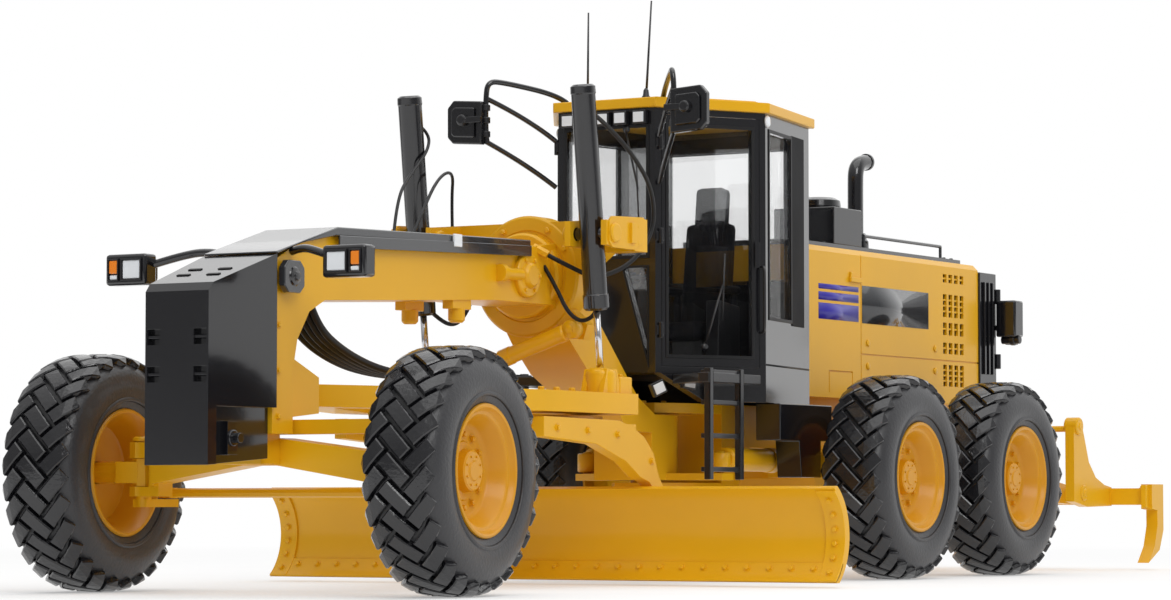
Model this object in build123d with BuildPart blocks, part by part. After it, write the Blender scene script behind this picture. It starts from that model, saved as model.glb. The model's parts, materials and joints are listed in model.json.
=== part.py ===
from build123d import *
import os
from math import cos, radians, sin, tan

# Motor grader, a 1:50 scale model, in millimetres.
# The front of the machine points to -Y, its left side to +X, and Z is up from the floor.
# Every "behind" distance below is measured back from the front axle.

os.makedirs("parts", exist_ok=True)

# Driving dimensions
wheelbase = 124.5          # front axle to the middle of the tandem
tandem_spacing = 33.5      # between the two rear axles
track = 47.5               # between the wheel centres, side to side
tyre_radius = 13.5         # out to the lug tips
nose_reach = 17.0          # counterweight, ahead of the front axle
tail_reach = 193.0         # ripper, behind the front axle
front_axle_y = (nose_reach - tail_reach) / 2
axle_z = tyre_radius
rest_steer = 5.2           # degrees to the left at rest
run_gap = 0.06             # radial clearance of a pin in its bore
seat_gap = 0.05            # a seated curved face

# Wheels
tyre_half_width = 4.75
wheel_flats = 18           # flats round the tyre and the rim, with a chevron of two lugs on each
carcass_radius = 12.4      # to the flats, as are the radii of the rim below
shoulder_drop = 2.4
shoulder_width = 0.85
bead_half_width = 3.7
bead_slope = 40.0
lug_length = 3.7
lug_width = 1.5
lug_angle = 30.0
lug_height = 1.6
lug_row = 1.9              # each row's distance from the tyre's middle
seat_radius = 6.6
dish_radius = 6.2
flange_radius = 7.25
rim_half_width = 4.1
flange_thickness = 0.35
disc_out = 1.2
disc_thickness = 1.3
hub_radius = 2.3
hub_out = 2.6
hub_cap = 0.6
hub_bore = 1.3
spindle_radius = hub_bore - run_gap

# Front axle and steering
kingpin_x = 17.4
kingpin_radius = 0.9
kingpin_low = 9.6
kingpin_high = 17.2
axle_tip_z = (12.2, 15.6)
axle_mid_z = (14.2, 17.2)
axle_half_depth = 1.9
lean_bar_z = (17.6, 19.2)
steer_arm = 5.2
tie_rod_z = 11.2
tie_rod_half = 0.6         # half the height of its end eyes
tie_rod_radius = 0.55
tie_eye_radius = 1.1
arm_height = 0.9
lower_eye_z = (10.8, 11.9)
upper_eye_z = (15.1, 16.9)
boss_radius = 1.3

# Front frame
beam_half_width = 4.3
lifting_eyes = (23.8, 27.8)       # heights in the nose weight's front face
deck_half_width = 5.0
nose_front = -5.5
column_low = 14.6
lamp_plate = (-3.2, 34.8)  # middle of the black plate on each side of the nose
pivot_behind = 83.0        # articulation pin, behind the front axle
pivot_z = (13.0, 21.4)     # the front frame's boss
pivot_radius = 4.4
pivot_pin = 1.7
leg_end = 77.6             # front face of the block that carries the boss
saddle_behind = (54.0, 57.0)
saddle_z = 38.0
saddle_radius = 7.4
trunnion = (12.5, 48.8, 42.5)
trunnion_radius = 0.75
ball = (3.0, 22.0)         # drawbar ball, behind and up
ball_radius = 2.0
ball_steps = (
    # from, to, radius: the ball between the two cheeks
    (-0.8, 0.8, ball_radius),
    (-1.5, 1.5, 0.75 * ball_radius),
    (-1.8, 1.8, 0.45 * ball_radius),
)

# Blade gear
bar_z = (20.8, 23.3)
circle_behind = 46.0
circle_radius = 13.5
circle_inner = 9.8
circle_z = (18.2, 20.5)
arm_x = 14.8
arm_thickness = 1.7
blade_half = 41.0
blade_low = 0.6
blade_high = 11.8
blade_edge_behind = 57.3
blade_bulge = 2.6
blade_thickness = 0.9
lift_eye = (12.5, 50.9, 25.2)
eye_radius = 1.1
rail_half = 27.0
rail_depth = 2.2
rail_z = (3.6, 8.6)        # lower edges of the two slide rails
rail_height = 1.2

# Cylinders
lift_barrel_radius = 1.55
lift_rod_radius = 0.4
lift_top_z = 60.4
lift_bottom_z = 33.3
small_barrel_radius = 1.1
small_rod_radius = 0.45
small_pin = 0.55
hose_radius = 0.28
port_radius = 0.55
port_length = 2.2
hose_gap = 0.05
lift_hose = (
    # left, behind, up
    (12.5, 49.6, 56.9), (12.6, 52.6, 55.8), (12.9, 58.4, 52.6), (12.7, 63.2, 48.8), (12.2, 64.6, 44.0),
    (11.2, 60.9, 39.6), (9.6, 55.0, 37.4), (8.2, 51.4, 38.6), (5.4, 50.4, 40.2),
)
shift_pin = (7.6, 52.4, 31.2)     # drawbar shift cylinder, its barrel pin
shift_eye = (-7.8, 52.4, 26.0)
turn_x = 10.0                     # articulation cylinders
turn_z = 15.7
turn_eye_behind = 85.5            # barrel eye on the front frame
turn_pin_behind = 110.5           # rod pin on the rear frame
turn_barrel_radius = 1.6
case_radius = 4.2                 # rounded ends of the tandem cases

# Rear frame and body
hood_half = 11.0
hood_y = (108.0, 162.5)
hood_low = 26.6
hood_skirt = 24.4
skirt_thickness = 1.0
seam_behind = 124.1
seam_width = 0.2
hood_top = 45.0
deck_top = 45.8
shroud_end = 171.0
frame_half = 6.6
cab_low = 23.0             # skirt, resting on the rear frame
cab_floor_z = 26.6
cab_top = 60.4
cab_wall = 1.0
door_inset = 0.9
door_low = 27.4
door_high = 59.6
door_gap = 0.06
cab_front = (7.2, 73.5)    # x and behind, of the three left corners
cab_mid = (15.6, 87.5)
cab_rear = (11.6, 107.4)
roof_thickness = 1.7
roof_edge = 1.3            # the rim round the raised panel
roof_inset = 1.4
roof_panel_start = 5.5     # behind the cab's front corners, clear of the antennas
roof_overhang = 0.7

# Ripper
ripper_pin = (173.5, 12.0)
ripper_beam_behind = 190.0
ripper_beam_z = (9.8, 12.3)
ripper_half = 27.5
ripper_arm_x = 14.0
ripper_pin_radius = 0.9
lift_pin = (163.0, 23.4)          # ripper cylinder: its pin on the frame and its eye on the ripper
ripper_eye = (176.5, 20.4)

sides = (("left", 1), ("right", -1))


def finish(piece, name):
    piece.part.label = name
    export_step(piece.part, f"parts/{name}.step")


def at(x, behind, z):
    return Vector(x, front_axle_y + behind, z)


def side(x=0.0):
    # Side view: local x runs back from the front axle, local y is height.
    return Plane(origin=(x, front_axle_y, 0), x_dir=(0, 1, 0), z_dir=(1, 0, 0))


def plan(z=0.0):
    # Top view: local x is to the left, local y runs back from the front axle.
    return Plane(origin=(0, front_axle_y, z), x_dir=(1, 0, 0), z_dir=(0, 0, 1))


def front(behind=0.0):
    # Front view: local x is to the left, local y is height.
    return Plane(origin=(0, front_axle_y + behind, 0), x_dir=(1, 0, 0), z_dir=(0, -1, 0))


def along(start, end):
    return Plane(origin=start, z_dir=end - start)


def outline(plane, points):
    with BuildSketch(plane) as sketch:
        with BuildLine():
            Polyline(*points, close=True)
        make_face()
    return sketch


def slab(plane, points, amount, both=False, mode=Mode.ADD):
    extrude(outline(plane, points).sketch, amount=amount, both=both, mode=mode)


def rod(start, end, radius, mode=Mode.ADD, flats=0):
    # A round bar or bore. With flats it is a slim many-sided one: a bore keeps its whole radius clear.
    with BuildSketch(along(start, end)) as section:
        if flats:
            RegularPolygon(radius, flats, major_radius=mode == Mode.ADD)
        else:
            Circle(radius)
    extrude(section.sketch, amount=(end - start).length, mode=mode)


# Tyre: a flat-sided carcass with sloping shoulders, and a chevron of two slanted lugs on each flat
flat_turn = 180.0 / wheel_flats
with BuildPart() as tyre_form:
    with BuildSketch():
        RegularPolygon(carcass_radius, wheel_flats, major_radius=False, rotation=flat_turn)
        RegularPolygon(
            seat_radius + seat_gap, wheel_flats, major_radius=False, rotation=flat_turn, mode=Mode.SUBTRACT)
    extrude(amount=tyre_half_width, both=True)
    for wall in tyre_form.faces().filter_by(Axis.Z):
        chamfer(wall.outer_wire().edges(), length=shoulder_drop, length2=shoulder_width, reference=wall)
    for hand in (-1, 1):
        with BuildSketch(Plane.XY.offset(hand * bead_half_width)):
            RegularPolygon(flange_radius + seat_gap, wheel_flats, major_radius=False, rotation=flat_turn)
        extrude(amount=hand * (tyre_half_width - bead_half_width), taper=-bead_slope, mode=Mode.SUBTRACT)
    for row in (-1, 1):
        with PolarLocations(0, wheel_flats):
            with Locations(Location((tyre_radius - lug_height / 2, 0, row * lug_row), (row * lug_angle, 0, 0))):
                Box(lug_height, lug_width, lug_length)

# Rim: a deep dish with a flange, a flat disc and a hub cap, outer face to +Z
rim_layers = (
    # from, to, radius to the flats, mode
    (-rim_half_width, rim_half_width, seat_radius, Mode.ADD),
    (rim_half_width - flange_thickness, rim_half_width, flange_radius, Mode.ADD),
    (disc_out, rim_half_width, dish_radius, Mode.SUBTRACT),
    (-rim_half_width, disc_out - disc_thickness, dish_radius, Mode.SUBTRACT),
)
with BuildPart() as rim_form:
    for low, high, radius, mode in rim_layers:
        with BuildSketch(Plane.XY.offset(low)):
            RegularPolygon(radius, wheel_flats, major_radius=False, rotation=flat_turn)
        extrude(amount=high - low, mode=mode)
    with BuildSketch(Plane.XY.offset(disc_out)):
        RegularPolygon(hub_radius, 12)
    extrude(amount=hub_out - disc_out)
    with BuildSketch(Plane.XY.offset(disc_out - disc_thickness)):
        Circle(hub_bore)
    extrude(amount=hub_out - hub_cap - disc_out + disc_thickness, mode=Mode.SUBTRACT)

# Where each wheel stands: name, side, steered, behind
wheels = (
    ("front", True, 0.0),
    ("middle", False, wheelbase - tandem_spacing / 2),
    ("rear", False, wheelbase + tandem_spacing / 2),
)


def knuckle_plane(hand):
    # Local x points out along the steered wheel's spindle.
    turn = radians(rest_steer)
    out = (hand * cos(turn), hand * sin(turn), 0)
    return Plane(origin=at(hand * kingpin_x, 0, axle_z), x_dir=out, z_dir=(0, 0, 1))


wheel_out = track / 2 - kingpin_x
for place, steered, behind in wheels:
    for hand_name, hand in sides:
        if steered:
            pivot = knuckle_plane(hand)
            centre = pivot.origin + pivot.x_dir * wheel_out
            out = pivot.x_dir
        else:
            centre = at(hand * track / 2, behind, axle_z)
            out = Vector(hand, 0, 0)
        seat = Plane(origin=centre, x_dir=(0, 0, -1), z_dir=out)
        with BuildPart() as tyre:
            add(tyre_form.part.moved(seat.location))
        finish(tyre, f"tyre_{place}_{hand_name}")
        with BuildPart() as rim:
            add(rim_form.part.moved(seat.location))
        finish(rim, f"rim_{place}_{hand_name}")

# Steering knuckles: kingpin, spindle and steering arm, with the tie rod under the arms
for hand_name, hand in sides:
    pivot = knuckle_plane(hand)
    low = pivot.origin + Vector(0, 0, kingpin_low - axle_z)
    high = pivot.origin + Vector(0, 0, kingpin_high - axle_z)
    spindle_end = pivot.origin + pivot.x_dir * (wheel_out + hub_out - 0.8)
    with BuildPart() as knuckle:
        rod(low, high, kingpin_radius)
        with BuildSketch(pivot.offset(-1.2)):
            with BuildLine():
                Polyline((0, -boss_radius), (2.6, -1.8), (2.6, 1.8), (0, boss_radius), close=True)
            make_face()
        extrude(amount=2.4)
        rod(pivot.origin + pivot.x_dir * 2.0, spindle_end, spindle_radius, flats=12)
        with BuildSketch(pivot.offset(kingpin_low - axle_z)):
            with Locations((0, hand * steer_arm / 2)):
                Rectangle(1.8, steer_arm + 1.6)
        extrude(amount=arm_height)
        rod(pivot.origin + Vector(0, 0, lower_eye_z[1] + seat_gap - axle_z),
            pivot.origin + Vector(0, 0, upper_eye_z[0] - seat_gap - axle_z), boss_radius, flats=8)
    finish(knuckle, f"knuckle_{hand_name}")

tie_behind = steer_arm * cos(radians(rest_steer))
tie_shift = -steer_arm * sin(radians(rest_steer))
with BuildPart() as tie_rod:
    rod(at(tie_shift - kingpin_x, tie_behind, tie_rod_z), at(tie_shift + kingpin_x, tie_behind, tie_rod_z),
        tie_rod_radius, flats=8)
    for hand_name, hand in sides:
        with BuildSketch(plan(tie_rod_z - tie_rod_half)):
            with Locations((tie_shift + hand * kingpin_x, tie_behind)):
                RegularPolygon(tie_eye_radius, 8)
        extrude(amount=2 * tie_rod_half)
finish(tie_rod, "tie_rod")

# Front axle: arched beam, lean bar above it and an upright with the kingpin eyes at each end
with BuildPart() as front_axle:
    slab(front(0), (
        (kingpin_x - 2.4, axle_tip_z[0]),
        (kingpin_x - 2.4, axle_tip_z[1]),
        (2.2, axle_mid_z[1]),
        (-2.2, axle_mid_z[1]),
        (2.4 - kingpin_x, axle_tip_z[1]),
        (2.4 - kingpin_x, axle_tip_z[0]),
        (-2.2, axle_mid_z[0]),
        (2.2, axle_mid_z[0]),
    ), axle_half_depth, both=True)
    with BuildSketch(front(0)):
        with Locations((0, sum(lean_bar_z) / 2)):
            Rectangle(2 * kingpin_x - 3.0, lean_bar_z[1] - lean_bar_z[0])
    extrude(amount=0.9, both=True)
    for hand_name, hand in sides:
        with BuildSketch(front(0)):
            with Locations((hand * (kingpin_x - 2.4), (lower_eye_z[0] + lean_bar_z[1]) / 2)):
                Rectangle(1.4, lean_bar_z[1] - lower_eye_z[0])
        extrude(amount=1.3, both=True)
        for low, high in (lower_eye_z, upper_eye_z):
            with BuildSketch(plan(low)):
                with Locations((hand * (kingpin_x - 0.9), 0)):
                    Rectangle(2.6, 2.6)
                with Locations((hand * kingpin_x, 0)):
                    RegularPolygon(1.6, 8)
            extrude(amount=high - low)
        rod(at(hand * kingpin_x, 0, 5), at(hand * kingpin_x, 0, 22), kingpin_radius + run_gap, Mode.SUBTRACT, 10)
finish(front_axle, "front_axle")

# Gooseneck frame: nose column, long beam and the leg down to the articulation pin
frame_outline = (
    (nose_front, column_low + 3.0),
    (nose_front, 36.4),
    (-1.0, 38.6),
    (5.5, 39.8),
    (47.0, 41.0),
    (57.5, 42.4),
    (60.5, 40.4),
    (64.0, 33.0),
    (74.0, 23.6),
    (78.5, pivot_z[1]),
    (78.5, pivot_z[0]),
    (leg_end, pivot_z[0]),
    (leg_end, 19.1),
    (71.6, 19.3),
    (70.2, 20.4),
    (68.5, 22.6),
    (65.5, 24.6),
    (62.0, 26.2),
    (57.5, 29.9),
    (53.4, 34.3),
    (40.0, 34.3),
    (4.5, 32.6),
    (1.5, 31.2),
    (-0.8, 28.0),
    (-1.6, 24.6),
    (-1.6, column_low + 3.0),
)
hose_end = at(*lift_hose[-1])
hose_last = (hose_end - at(*lift_hose[-2])).normalized()
with BuildPart() as front_frame:
    slab(side(0), frame_outline, beam_half_width, both=True)
    rod(hose_end + hose_last * hose_gap, hose_end + hose_last * port_length, port_radius, flats=6)
    with BuildSketch(plan(pivot_z[0])):
        with Locations((0, pivot_behind)):
            Circle(pivot_radius)
        with Locations((0, (leg_end + pivot_behind) / 2)):
            Rectangle(2 * beam_half_width, pivot_behind - leg_end)
    extrude(amount=pivot_z[1] - pivot_z[0])
    rod(at(0, pivot_behind, 5), at(0, pivot_behind, 30), pivot_pin + run_gap, mode=Mode.SUBTRACT)
    for hand_name, hand in sides:
        with BuildSketch(side(hand * 2.9)):
            with BuildLine():
                Polyline((-1.7, 19.4), (ball[0] + 1.6, 20.0), (ball[0] + 1.6, 24.0), (-1.7, 26.5), close=True)
            make_face()
        extrude(amount=0.55, both=True)
    with BuildSketch(front(-axle_half_depth)):
        with Locations((0, column_low + 2.2)):
            Rectangle(5.6, 5.0)
    extrude(amount=-nose_front - axle_half_depth)
    for hand_name, hand in sides:
        slab(plan(pivot_z[0]), (
            (0, pivot_behind + 1.5), (hand * 3.6, pivot_behind - 2.0), (hand * (turn_x + 1.0), turn_eye_behind - 1.4),
            (hand * (turn_x + 1.2), turn_eye_behind + 1.3), (hand * (turn_x - 1.2), turn_eye_behind + 1.5),
            (hand * 3.6, pivot_behind + 2.6),
        ), 0.9)
    rod(at(0, pivot_behind, 5), at(0, pivot_behind, 30), pivot_pin + run_gap, mode=Mode.SUBTRACT)
finish(front_frame, "front_frame")

# Lift saddle: a thick disc round the beam, with arms and forks for the two lift cylinders
with BuildPart() as saddle:
    with BuildSketch(front(saddle_behind[1])):
        with Locations((0, saddle_z)):
            Circle(saddle_radius)
        with BuildLine():
            Polyline((-11.0, 44.6), (11.0, 44.6), (11.0, 40.6), (5.0, 36.0), (-5.0, 36.0), (-11.0, 40.6), close=True)
        make_face()
    extrude(amount=saddle_behind[1] - saddle_behind[0])
    slab(front(saddle_behind[0]), (
        (3.0, 33.2), (6.4, 33.8), (shift_pin[0] + 1.2, shift_pin[2] + 0.6), (shift_pin[0] + 0.6, shift_pin[2] - 1.2),
        (shift_pin[0] - 1.0, shift_pin[2] - 1.0),
    ), -1.6)
    slab(side(0), frame_outline, beam_half_width, both=True, mode=Mode.SUBTRACT)
    rod(at(shift_pin[0], saddle_behind[0] + 1, shift_pin[2]), at(shift_pin[0], shift_pin[1] - 0.9, shift_pin[2]),
        small_pin)
    for hand_name, hand in sides:
        for near in (trunnion[0] - 2.9, trunnion[0] + 2.2):
            with BuildSketch(side(hand * near)):
                with BuildLine():
                    Polyline(
                        (trunnion[1] - 1.6, 41.0), (trunnion[1] - 1.6, 44.0),
                        (saddle_behind[1], 44.6), (saddle_behind[1], 40.6), close=True)
                make_face()
                with Locations((trunnion[1], trunnion[2])):
                    RegularPolygon(trunnion_radius + run_gap, 10, major_radius=False, mode=Mode.SUBTRACT)
            extrude(amount=hand * 0.8)
        with BuildSketch(side(hand * (trunnion[0] - 2.9))):
            with Locations((saddle_behind[1] - 1.5, 42.6)):
                Rectangle(3.0, 4.0)
        extrude(amount=hand * 5.9)
finish(saddle, "lift_saddle")

# Black deck on the beam, and the nose weight with its sloping top
with BuildPart() as frame_deck:
    slab(side(0), (
        (5.5, 39.82), (47.0, 41.02), (47.0, 41.9), (6.0, 40.8), (-2.5, 39.6), (-3.6, 38.0), (-1.0, 38.65),
    ), deck_half_width, both=True)
    for hand_name, hand in sides:
        with BuildSketch(side(hand * beam_half_width)):
            with Locations(lamp_plate):
                plate = Rectangle(3.8, 3.6)
                chamfer(plate.vertices(), 0.8)
        extrude(amount=hand * 0.9)
finish(frame_deck, "frame_deck")

with BuildPart() as counterweight:
    slab(side(0), (
        (-nose_reach, 14.1), (-nose_reach, 32.7), (-nose_reach + 0.8, 33.6), (-5.6, 37.2), (-5.6, 14.9),
    ), deck_half_width, both=True)
    for hand_name, hand in sides:
        slab(plan(10), (
            (hand * 4.2, -nose_reach), (hand * 6.0, -nose_reach), (hand * 6.0, -5.6), (hand * 5.0, -5.6),
        ), 40, mode=Mode.SUBTRACT)
        slab(side(hand * deck_half_width), (
            (1.4 - nose_reach, 13.0), (1.4 - nose_reach, 20.4), (-5.0, 20.4), (-5.0, 13.0),
        ), -hand * 1.2, mode=Mode.SUBTRACT)
        slab(side(hand * (deck_half_width - 1.3)), (
            (-14.4, 15.2), (-14.4, 18.8), (-12.6, 18.8), (-12.6, 15.2),
        ), hand * 1.2)
        for height in lifting_eyes:
            with BuildSketch(front(-nose_reach)):
                with Locations((hand * 3.1, height)):
                    Rectangle(1.7, 1.7)
            extrude(amount=-0.7, mode=Mode.SUBTRACT)
            rod(at(hand * 3.1 - 0.9, 0.35 - nose_reach, height), at(hand * 3.1 + 0.9, 0.35 - nose_reach, height),
                0.24, flats=6)
finish(counterweight, "counterweight")

with BuildPart() as headlamps:
    for hand_name, hand in sides:
        with BuildSketch(front(-5.2)):
            with Locations((hand * 14.7, 36.0)):
                Rectangle(5.0, 3.0)
        extrude(amount=2.2)
        rod(at(hand * (deck_half_width + 0.1), -3.2, 37.4), at(hand * 12.4, -6.2, 36.4), 0.52, flats=6)
finish(headlamps, "headlamps")

# Drawbar: ball stem, two bars opening into a flat frame, and the lift cylinders' eye blocks
with BuildPart() as drawbar:
    slab(plan(bar_z[0]), (
        (-1.7, ball[0] + 0.5), (1.7, ball[0] + 0.5), (14.8, 34.0), (14.8, 56.0), (11.0, 58.0),
        (-11.0, 58.0), (-14.8, 56.0), (-14.8, 34.0),
    ), bar_z[1] - bar_z[0])
    slab(plan(bar_z[0] - 1), (
        (0, 12.5), (9.6, 34.0), (10.4, 40.0), (-10.4, 40.0), (-9.6, 34.0),
    ), 6, mode=Mode.SUBTRACT)
    with BuildSketch(plan(bar_z[0] - 1)):
        with Locations((0, circle_behind)):
            RegularPolygon(7.2, 16)
    extrude(amount=6, mode=Mode.SUBTRACT)
    for low, high, radius in ball_steps:
        rod(at(low, ball[0], ball[1]), at(high, ball[0], ball[1]), radius, flats=16)
    for hand_name, hand in sides:
        with BuildSketch(side(hand * (lift_eye[0] - 1.6))):
            with BuildLine():
                Polyline(
                    (lift_eye[1] - 2.2, bar_z[1] - 0.3), (lift_eye[1] - 1.2, lift_eye[2] + 1.0),
                    (lift_eye[1] + 1.2, lift_eye[2] + 1.0), (lift_eye[1] + 2.2, bar_z[1] - 0.3), close=True)
            make_face()
        extrude(amount=hand * 0.7)
        with BuildSketch(side(hand * (lift_eye[0] + 0.9))):
            with BuildLine():
                Polyline(
                    (lift_eye[1] - 2.2, bar_z[1] - 0.3), (lift_eye[1] - 1.2, lift_eye[2] + 1.0),
                    (lift_eye[1] + 1.2, lift_eye[2] + 1.0), (lift_eye[1] + 2.2, bar_z[1] - 0.3), close=True)
            make_face()
        extrude(amount=hand * 0.7)
    for ear in (shift_eye[1] - 2.2, shift_eye[1] + 1.5):
        slab(front(ear + 0.7), (
            (shift_eye[0] - 1.8, bar_z[1] - 0.3), (shift_eye[0] - 1.1, shift_eye[2] + 0.9),
            (shift_eye[0] + 1.1, shift_eye[2] + 0.9), (shift_eye[0] + 1.8, bar_z[1] - 0.3),
        ), 0.7)
finish(drawbar, "drawbar")

foot_behind = blade_edge_behind + blade_bulge + blade_thickness + 0.3

# Circle: flat ring under the drawbar with the two arms that hold the blade from behind
with BuildPart() as circle:
    with BuildSketch(plan(circle_z[0])):
        with Locations((0, circle_behind)):
            Circle(circle_radius)
            Circle(circle_inner, mode=Mode.SUBTRACT)
    extrude(amount=circle_z[1] - circle_z[0])
    for hand_name, hand in sides:
        slab(plan(circle_z[0]), (
            (hand * 8.6, circle_behind - 6.0), (hand * arm_x, circle_behind - 9.0),
            (hand * arm_x, circle_behind + 9.5), (hand * 8.6, circle_behind + 6.5),
        ), 1.4)
        slab(side(hand * (arm_x - arm_thickness)), (
            (circle_behind - 12.0, circle_z[1] - 0.3), (circle_behind + 5.5, circle_z[1] - 0.5),
            (circle_behind + 8.8, circle_z[1] - 1.3), (circle_behind + 11.5, circle_z[1] - 2.4),
            (circle_behind + 13.8, circle_z[1] - 4.4), (circle_behind + 15.0, 13.4), (foot_behind + 2.4, 10.6),
            (foot_behind + 2.4, 2.6), (foot_behind, 2.6), (foot_behind, 10.8), (blade_edge_behind + 1.4, 12.6),
            (circle_behind + 10.5, 13.2), (circle_behind + 7.0, 15.1), (circle_behind, 17.1),
            (circle_behind - 12.0, 17.8),
        ), hand * arm_thickness)
    for low in rail_z:
        slab(side(0), (
            (foot_behind - 1, low - 0.15), (foot_behind + 1.0, low - 0.15),
            (foot_behind + 1.0, low + rail_height + 0.15), (foot_behind - 1, low + rail_height + 0.15),
        ), arm_x + 1, both=True, mode=Mode.SUBTRACT)
finish(circle, "circle")

# Blade: curved board with a cutting edge, end bits and the two slide rails on its back
with BuildPart() as moldboard:
    with BuildSketch(side(-blade_half)):
        with BuildLine():
            ThreePointArc(
                (blade_edge_behind, blade_low), (blade_edge_behind + blade_bulge, 5.4),
                (blade_edge_behind - 0.4, blade_high))
            Line((blade_edge_behind - 0.4, blade_high), (blade_edge_behind + 0.4, blade_high + 0.3))
            ThreePointArc(
                (blade_edge_behind + 0.4, blade_high + 0.3),
                (blade_edge_behind + blade_bulge + blade_thickness, 5.4),
                (blade_edge_behind + 0.9, blade_low))
            Line((blade_edge_behind + 0.9, blade_low), (blade_edge_behind, blade_low))
        make_face()
    extrude(amount=2 * blade_half)
    for low in rail_z:
        slab(side(0), (
            (blade_edge_behind + blade_bulge, low), (foot_behind + 0.85, low),
            (foot_behind + 0.85, low + rail_height), (blade_edge_behind + blade_bulge, low + rail_height),
        ), rail_half, both=True)
finish(moldboard, "moldboard")


def cylinder_parts(name, ends, barrel_radius, rod_radius, barrel_pin=None, eye_axis=(1, 0, 0), eye_half=0.75,
                   port=None):
    # ends: far end of the barrel, its mouth, and the middle of the rod's eye; port: a hose port's two ends
    top, mouth, eye = ends
    reach = (mouth - top).normalized()
    across = Vector(*eye_axis)
    with BuildPart() as barrel:
        rod(top, mouth, barrel_radius, flats=12)
        if port:
            rod(*port, port_radius, flats=6)
        if barrel_pin:
            centre, half, radius, bore = barrel_pin
            rod(centre - across * half, centre + across * half, radius, flats=12 if bore else 0)
            if bore:
                rod(centre - across * 5, centre + across * 5, bore, mode=Mode.SUBTRACT)
        rod(top + reach * 2.2, mouth + reach, rod_radius + run_gap, Mode.SUBTRACT, 8)
    finish(barrel, f"{name}_barrel")
    with BuildPart() as piston:
        rod(mouth - reach * min(12.0, (mouth - top).length - 5.0), eye, rod_radius, flats=8)
        rod(eye - across * eye_half, eye + across * eye_half, eye_radius, flats=10)
    return piston


def between(start, end, distance):
    return start + (end - start).normalized() * distance


# The long hose, from its port on the left lift cylinder to its port on the side of the gooseneck
def cord_radii(points):
    # The largest arc that the two runs at each corner allow
    radii = []
    for before, corner, after in zip(points, points[1:], points[2:]):
        turn = (corner - before).get_angle(after - corner)
        shorter = min((corner - before).length, (after - corner).length)
        radii.append(0.45 * shorter / tan(radians(turn / 2)))
    return radii


hose_points = [at(*point) for point in lift_hose]
hose_start = (hose_points[1] - hose_points[0]).normalized()
hose_radii = cord_radii(hose_points)
with BuildPart() as hose:
    with BuildLine() as hose_line:
        FilletPolyline(*hose_points, radius=hose_radii)
    with BuildSketch(Plane(origin=hose_points[0], z_dir=hose_start)):
        RegularPolygon(hose_radius, 6)
    sweep()
finish(hose, "lift_hose_left")
hose_length = sum(edge.length for edge in hose_line.edges())
print("hose length", round(hose_length, 1), "volume", round(hose.part.volume, 2),
      "radii", [round(radius, 1) for radius in hose_radii])

# Lift cylinders: the barrels swing on their trunnions, and each has a port for its hose
lift_lean = (lift_eye[1] - trunnion[1]) / (lift_eye[2] - trunnion[2])
port_start = hose_points[0] - hose_start * port_length
port_end = hose_points[0] - hose_start * hose_gap
for hand_name, hand in sides:
    top = at(hand * trunnion[0], trunnion[1] + lift_lean * (lift_top_z - trunnion[2]), lift_top_z)
    mouth = at(hand * trunnion[0], trunnion[1] + lift_lean * (lift_bottom_z - trunnion[2]), lift_bottom_z)
    eye = at(hand * lift_eye[0], lift_eye[1], lift_eye[2])
    pin = (at(hand * trunnion[0], trunnion[1], trunnion[2]), 2.9, trunnion_radius, None)
    port = [Vector(hand * point.X, point.Y, point.Z) for point in (port_start, port_end)]
    piston = cylinder_parts(f"lift_{hand_name}", (top, mouth, eye), lift_barrel_radius, lift_rod_radius, pin, port=port)
    finish(piston, f"lift_{hand_name}_rod")

# Drawbar shift cylinder, across the machine under the saddle
shift_end = at(*shift_pin)
eye = at(*shift_eye)
pin = (shift_end, 0.8, 1.15, small_pin + run_gap)
piston = cylinder_parts("shift", (between(shift_end, eye, 0.9), between(shift_end, eye, 11.0), eye),
                        small_barrel_radius, small_rod_radius, pin, (0, 1, 0), 0.4)
finish(piston, "shift_rod")

# Articulation cylinders, beside the pivot: barrel eye over the front frame's wing, rod pinned behind
for hand_name, hand in sides:
    front_eye = at(hand * turn_x, turn_eye_behind, turn_z)
    rear_eye = at(hand * turn_x, turn_pin_behind, turn_z)
    with BuildPart() as barrel:
        rod(between(front_eye, rear_eye, 1.0), between(front_eye, rear_eye, 14.5), turn_barrel_radius, flats=12)
        rod(front_eye - Vector(0, 0, turn_barrel_radius), front_eye + Vector(0, 0, 0.9), 1.3, flats=12)
        rod(between(front_eye, rear_eye, 3.0), between(front_eye, rear_eye, 16.0), small_rod_radius + run_gap,
            Mode.SUBTRACT, 8)
    finish(barrel, f"turn_{hand_name}_barrel")
    with BuildPart() as piston:
        rod(between(front_eye, rear_eye, 9.0), rear_eye, small_rod_radius, flats=8)
        rod(rear_eye - Vector(0, 0, 0.8), rear_eye + Vector(0, 0, 0.8), 1.3, flats=12)
        rod(rear_eye - Vector(0, 0, 2), rear_eye + Vector(0, 0, 2), small_pin + run_gap, mode=Mode.SUBTRACT)
    finish(piston, f"turn_{hand_name}_rod")

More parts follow.
